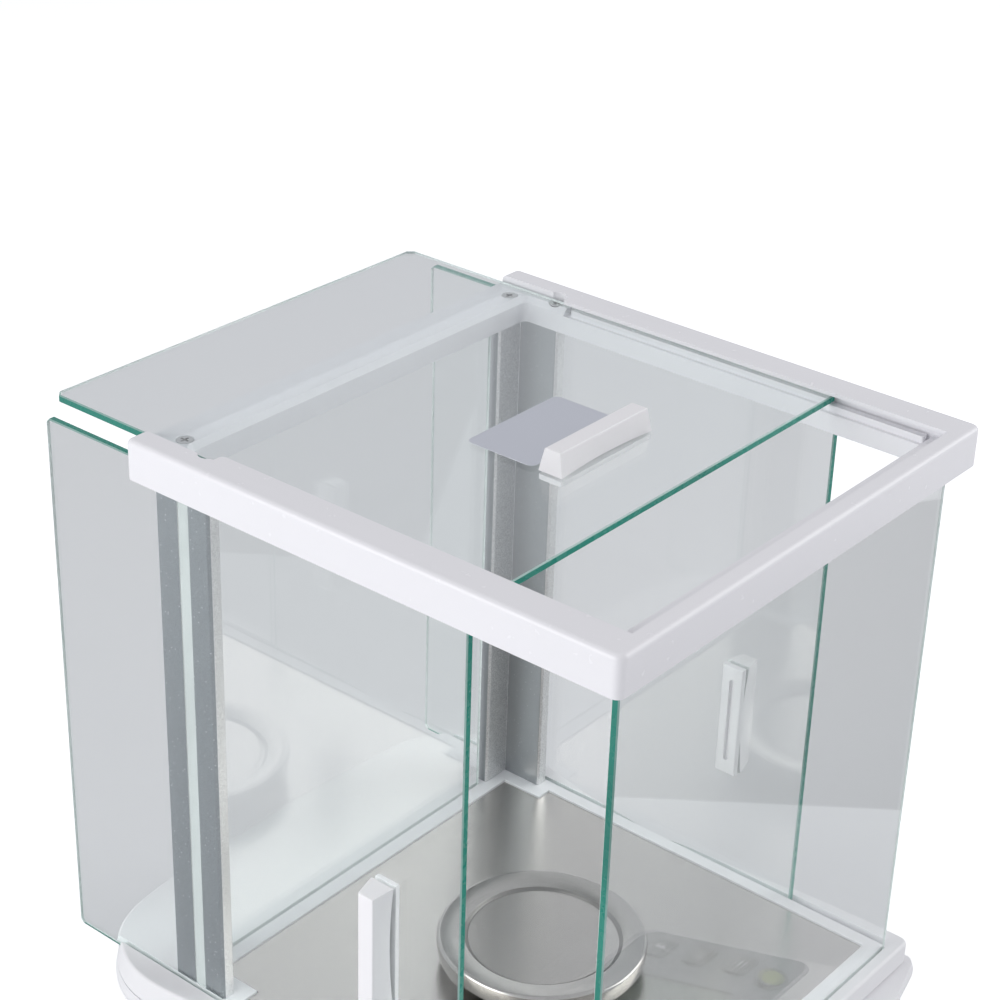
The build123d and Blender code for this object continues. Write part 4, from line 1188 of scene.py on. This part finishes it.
# ------------------------------------------------------------------ housing
@dataclass
class Housing:
    """Lower housing, console, base plate and the sockets behind."""

    edge: float = 0.4 * MM
    boss_places: tuple[Point2, ...] = ((81.0 * MM, -82.0 * MM), (81.0 * MM, 94.0 * MM))
    head: CrossHead = CrossHead(2.8 * MM, 2.4 * MM, 2.2 * MM, 3.0 * MM)
    shell_edge: float = 0.3 * MM
    facing: float = 0.99

    def build(self) -> None:
        """Build the housing."""
        for node, name in (("body_shell", "housing"), ("console_shell", "console")):
            refined(node, name, "housing_white", self.edge)
        dress("casting_grey", "bottom_plate")
        self.screws()
        dress("panel_grey", "port_plate")
        dress("black_moulding", "dc_inlet")
        dress("contact_gold", "dc_pin")
        dress("nickel", "port_jackscrews")
        self.socket()
        dress("foot_rubber", "rear_feet")

    def screws(self) -> None:
        """Set the base screws, made upright and then mirrored to face down."""
        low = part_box("bottom_screws")[0].z
        places = [(side * x, y + PAN_Y, -low) for side in (-1, 1) for x, y in self.boss_places]
        screws = self.head.tree("base_heads").make("base_screws", places, "zinc")
        screws.data.transform(Matrix.Scale(-1, 4, (0, 0, 1)))
        screws.data.flip_normals()
        mount(screws, "bottom_screws")

    def socket(self) -> None:
        """Build the data socket, plated round a black mouth."""
        socket = refined("data_port", "data_socket", "nickel", self.shell_edge, STEEP)
        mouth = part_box("data_port")[1].y - self.shell_edge / 2
        repaint(
            socket,
            "black_moulding",
            lambda face: face.center.y > mouth and face.normal.y > self.facing,
        )


@dataclass
class WeighingCell:
    """Parts inside the housing."""

    finishes: tuple[tuple[str, tuple[str, ...]], ...] = (
        ("cell_alloy", ("cell_block", "cell_beam")),
        ("magnet_plate", ("cell_magnet",)),
        ("zinc", ("under_hook",)),
        ("board_green", ("circuit_board", "key_board")),
        ("black_moulding", ("key_switches",)),
    )

    def build(self) -> None:
        """Dress the inner parts."""
        for finish, nodes in self.finishes:
            dress(finish, *nodes)


@dataclass
class Console:
    """Sloping panel with the display, the keys and the bull's-eye level."""

    keys: tuple[str, ...] = ("power", "calibrate", "unit", "print", "mode", "tare")
    key_edge: float = 0.3 * MM
    key_angle: float = 45.0
    panel_edge: float = 0.25 * MM
    window_edge: float = 0.15 * MM
    window_lift: float = 0.1 * MM
    module_edge: float = 0.1 * MM
    film: float = 0.04 * MM
    digits: int = 5
    point_before: int = 1
    digit_h: float = 21.0 * MM
    digit_w: float = 10.5 * MM
    digit_pitch: float = 15.5 * MM
    bar: float = 2.5 * MM
    bar_gap: float = 0.5 * MM
    point_share: float = 0.6
    line: float = 0.7 * MM
    dash_l: float = 4.2 * MM
    dash_pitch: float = 2.2 * MM
    stroke_l: float = 3.0 * MM
    stroke_pitch: float = 2.4 * MM
    dot_r: float = 0.55 * MM
    dot_pitch: float = 1.5 * MM
    disc_r: float = 1.5 * MM
    arrow_r: float = 1.7 * MM
    arrow_pitch: float = 3.2 * MM
    vial_r: float = 0.5 * MM
    cup_edge: float = 0.15 * MM
    bubble_r: float = 1.6 * MM
    bubble_h: float = 0.6 * MM
    bubble_depth: float = 0.9 * MM
    ring_r: float = 2.5 * MM
    ring_w: float = 0.35 * MM
    ring_h: float = 0.06 * MM
    ring_depth: float = 0.12 * MM

    @property
    def upward(self) -> Vector:
        """Direction that the panel faces."""
        return Vector((0.0, -math.sin(SLOPE), math.cos(SLOPE)))

    def on_panel(self, centre: Vector, places: Iterable[Point2], lift: float) -> list[Vector]:
        """Lay places, to the right and up the slope, round a centre and at a lift over it."""
        matrix = Matrix.Translation(centre) @ Matrix.Rotation(SLOPE, 4, "X")
        return [matrix @ Vector((x, y, lift)) for x, y in places]

    def display(self) -> None:
        """Build the window, the field under it and the plain zeros between them."""
        edge = self.window_edge
        window = refined("display_window", "clear_window", "window_clear", edge, STEEP)
        ease(window, tuple(-self.upward), self.window_lift)
        refined("display_module", "display_block", "lcd_field", self.module_edge, STEEP)
        low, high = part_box("display_window")
        size = high - low
        sine, cosine = math.sin(SLOPE), math.cos(SLOPE)
        # A leaning sheet of length l and thickness t fills l cos + t sin by l sin + t cos.
        thickness = (size.z * cosine - size.y * sine) / (cosine**2 - sine**2)
        lift = (self.film - thickness) / 2
        wide, tall = self.digit_w / 2, self.digit_h / 2
        middle = (self.digits - 1) / 2
        columns = [(order - middle) * self.digit_pitch for order in range(self.digits)]
        sides = [x + side * wide for x in columns for side in (-1, 1)]
        rung = bars("rungs", self.digit_w - self.bar - self.bar_gap, self.bar, self.film)
        post = bars("posts", self.bar, tall - self.bar_gap, self.film)
        point = pegs("points", self.bar * self.point_share, self.film, 24)
        for name, tree, places in (
            ("digit_rungs", rung, [(x, y) for x in columns for y in (tall, -tall)]),
            ("digit_posts", post, [(x, y) for x in sides for y in (-tall / 2, tall / 2)]),
            ("digit_point", point, [(columns[self.point_before] - self.digit_pitch / 2, -tall)]),
        ):
            points = self.on_panel((low + high) / 2, places, lift)
            add_on(tree.make(name, points, "lcd_segment"), "base")

    def key_marks(self) -> None:
        """Print a plain mark on every key."""
        dash = bars("dashes", self.dash_l, self.line, self.film)
        stroke = bars("strokes", self.line, self.stroke_l, self.film)
        dot = pegs("dots", self.dot_r, self.film, 20)
        disc = pegs("discs", self.disc_r, self.film, 32)
        arrow = pegs("arrows", self.arrow_r, self.film, 3)
        patterns = {
            "power": (stroke, [(0.0, 0.0)]),
            "calibrate": (arrow, [(side * self.arrow_pitch / 2, 0.0) for side in (-1, 1)]),
            "unit": (dot, [(side * self.dot_pitch, 0.0) for side in (-1, 0, 1)]),
            "print": (dash, [(0.0, side * self.dash_pitch / 2) for side in (1, -1)]),
            "mode": (stroke, [(side * self.stroke_pitch / 2, 0.0) for side in (-1, 1)]),
            "tare": (disc, [(0.0, 0.0)]),
        }
        for key, (tree, places) in patterns.items():
            node = frame["nodes"][f"key_{key}"]
            top = max(point.co.dot(self.upward) for point in node.data.vertices)
            low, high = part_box(f"key_{key}")
            centre = (low + high) / 2
            centre += self.upward * (top - centre.dot(self.upward))
            points = self.on_panel(centre, places, 0.0)
            mark = tree.make(f"{key}_mark", points, "key_mark")
            add_on(mark, node["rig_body"])

    def level(self) -> None:
        """Build the level's fluid, its bubble and the ring round it."""
        low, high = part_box("level_vial")
        at = ((low.x + high.x) / 2, (low.y + high.y) / 2)
        top, reach = high.z, (high.x - low.x) / 2
        dome = arc((reach - self.vial_r, top - self.vial_r), self.vial_r, 0, 90, 6)
        vial = [(0.0, low.z), (reach, low.z), *dome, (reach / 2, top), (0.0, top)]
        fluid = skin("level_fluid_vial", turned(vial, at, segments=72), ["level_fluid"])
        mount(fluid, "level_vial")
        refined("level_cup", "level_housing", "black_moulding", self.cup_edge, STEEP)
        bubble = [
            (self.bubble_r * math.sin(a), top - self.bubble_depth - self.bubble_h * math.cos(a))
            for a in (math.radians(step) for step in range(0, 181, 12))
        ]
        rings = turned(bubble, at, segments=48)
        add_on(skin("level_bubble", rings, ["level_bubble"]), "base")
        inner, outer = self.ring_r, self.ring_r + self.ring_w
        upper = top - self.ring_depth
        lower = upper - self.ring_h
        ring = [(inner, lower), (outer, lower), (outer, upper), (inner, upper)]
        rings = turned(ring, at, segments=64)
        add_on(skin("level_ring", rings, ["black_moulding"], looped=True), "base")

    def build(self) -> None:
        """Build the panel and what is set into it."""
        refined("control_panel", "key_panel", "panel_grey", self.panel_edge)
        self.display()
        for key in self.keys:
            finish = "key_accent" if key == "tare" else "key_grey"
            refined(f"key_{key}", f"{key}_key", finish, self.key_edge, self.key_angle)
        self.key_marks()
        self.level()


@dataclass
class Feet:
    """Levelling feet with ribbed thumbwheels."""

    edge: float = 0.3 * MM

    def build(self) -> None:
        """Build the wheels and dress the rest of the feet."""
        for side in ("left", "right"):
            refined(f"{side}_foot_wheel", f"{side}_thumbwheel", "thumbwheel", self.edge)
            dress("zinc", f"{side}_foot_stud")
            dress("foot_rubber", f"{side}_foot_pad")


# ------------------------------------------------------------------ studio
@dataclass
class Studio:
    """Pale room, floor, lamps and camera."""

    room: Colour = (0.65, 0.665, 0.71)
    ambient: Colour = (0.50, 0.50, 0.515)
    floor_colour: Colour = (0.80, 0.81, 0.83)
    floor_lift: float = 0.5
    floor_half: float = 12.0
    flag_tone: Colour = (0.24, 0.24, 0.25)
    flag_corners: tuple[Point2, ...] = ((0.14, -0.42), (0.3, -0.54), (0.64, -0.35), (0.335, -0.165))
    flag_height: float = 1.0 * MM
    lens: float = 83.43
    sensor: float = 36.0
    eye: Point3 = (-0.5778, PAN_Y - 0.43665, 0.6784)
    right: Point3 = (0.637598, -0.769859, 0.028016)
    up: Point3 = (0.342545, 0.315895, 0.884802)
    back: Point3 = (-0.690023, -0.554551, 0.465125)
    lamp_aim: Point3 = (0.0, 0.0, 0.2)
    lamps: tuple[tuple[str, Point3, float, float], ...] = (
        ("key_lamp", (-1.9, 0.7, 0.65), 1.7, 26.0),
        ("front_softbox", (1.52, -1.22, 1.2), 1.6, 20.0),
    )
    bounces: int = 24

    def camera(self) -> None:
        """Place the camera."""
        data = bpy.data.cameras.new("studio_camera")
        data.lens = self.lens
        data.sensor_width = self.sensor
        data.clip_start = 10 * MM
        camera = bpy.data.objects.new("studio_camera", data)
        bpy.context.scene.collection.objects.link(camera)
        basis = Matrix((self.right, self.up, self.back)).transposed().to_4x4()
        camera.matrix_world = Matrix.Translation(self.eye) @ basis
        bpy.context.scene.camera = camera

    def world(self) -> None:
        """Light the room: white to the camera, pale grey in the glass, dimmer as ambient."""
        world = bpy.data.worlds.new("studio_room")
        world.use_nodes = True
        world.node_tree.nodes.clear()
        g = Nodes(world.node_tree)
        seen = g.add("ShaderNodeBackground", {"Color": rgba(self.room)})
        for ray, colour in (("Is Diffuse Ray", self.ambient), ("Is Camera Ray", EVEN)):
            tone = g.add("ShaderNodeBackground", {"Color": rgba(colour)})
            seen = g.blend(g.ray(ray), seen, tone)
        g.add("ShaderNodeOutputWorld", {"Surface": seen})
        bpy.context.scene.world = world

    def sheet(self, name: str, corners: Sequence[Point3], material: Material) -> None:
        """Lay a flat sheet that isn't part of the balance.

        Args:
            name: Name of the sheet.
            corners: Its corners, anticlockwise.
            material: Its material.
        """
        mesh = bpy.data.meshes.new(name)
        mesh.from_pydata(corners, [], [tuple(range(len(corners)))])
        new_object(name, mesh, material)

    def floor(self) -> None:
        """Lay the pale bench, lifted to white for the camera, with its shadow kept."""
        g = Graph("bench_paint")
        inputs = {0: g.ray("Is Camera Ray"), 1: self.floor_lift}
        lift = g.add("ShaderNodeMath", inputs, operation="MULTIPLY")
        glow = g.add("ShaderNodeEmission", {"Strength": lift})
        cover = g.add("ShaderNodeBsdfDiffuse", {"Color": rgba(self.floor_colour)})
        paint = g.finish(g.add("ShaderNodeAddShader", {0: cover, 1: glow}))
        half = self.floor_half
        corners = [(x * half, y * half, 0.0) for x, y in ((-1, -1), (1, -1), (1, 1), (-1, 1))]
        self.sheet("bench_floor", corners, paint)

    def flag(self) -> None:
        """Lay the dark card that only the glass mirrors, beside the front pane: a painted dark
        reflection in the glass.
        """
        g = Graph("flag_card")
        dark = g.add("ShaderNodeBsdfDiffuse", {"Color": rgba(self.flag_tone)})
        clear = g.add("ShaderNodeBsdfTransparent")
        card = g.finish(g.blend(g.ray("Is Glossy Ray"), clear, dark))
        corners = [(x, y + PAN_Y, self.flag_height) for x, y in self.flag_corners]
        self.sheet("flag_card", corners, card)

    def light(self) -> None:
        """Hang the soft lamps."""
        for name, place, size, watts in self.lamps:
            data = bpy.data.lights.new(name, "AREA")
            data.shape = "SQUARE"
            data.size = size
            data.energy = watts
            lamp = bpy.data.objects.new(name, data)
            bpy.context.scene.collection.objects.link(lamp)
            lamp.location = place
            toward = Vector(self.lamp_aim) - Vector(place)
            lamp.rotation_euler = toward.to_track_quat("-Z", "Y").to_euler()

    def build(self) -> None:
        """Build the studio."""
        self.camera()
        self.world()
        self.floor()
        self.flag()
        self.light()
        scene = bpy.context.scene
        scene.view_settings.view_transform = "Standard"
        scene.cycles.max_bounces = self.bounces
        scene.cycles.transmission_bounces = self.bounces
        scene.cycles.transparent_max_bounces = self.bounces


def main() -> None:
    """Build every sub-assembly in order."""
    logging.basicConfig(level=logging.INFO, format="%(message)s")
    Studio().build()
    for assembly in (
        DraughtShield(),
        TopFrame(),
        Columns(),
        Deck(),
        WeighingPan(),
        Housing(),
        WeighingCell(),
        Console(),
        Feet(),
    ):
        log.info("building %s", type(assembly).__name__)
        assembly.build()


if __name__ == "__main__":
    main()
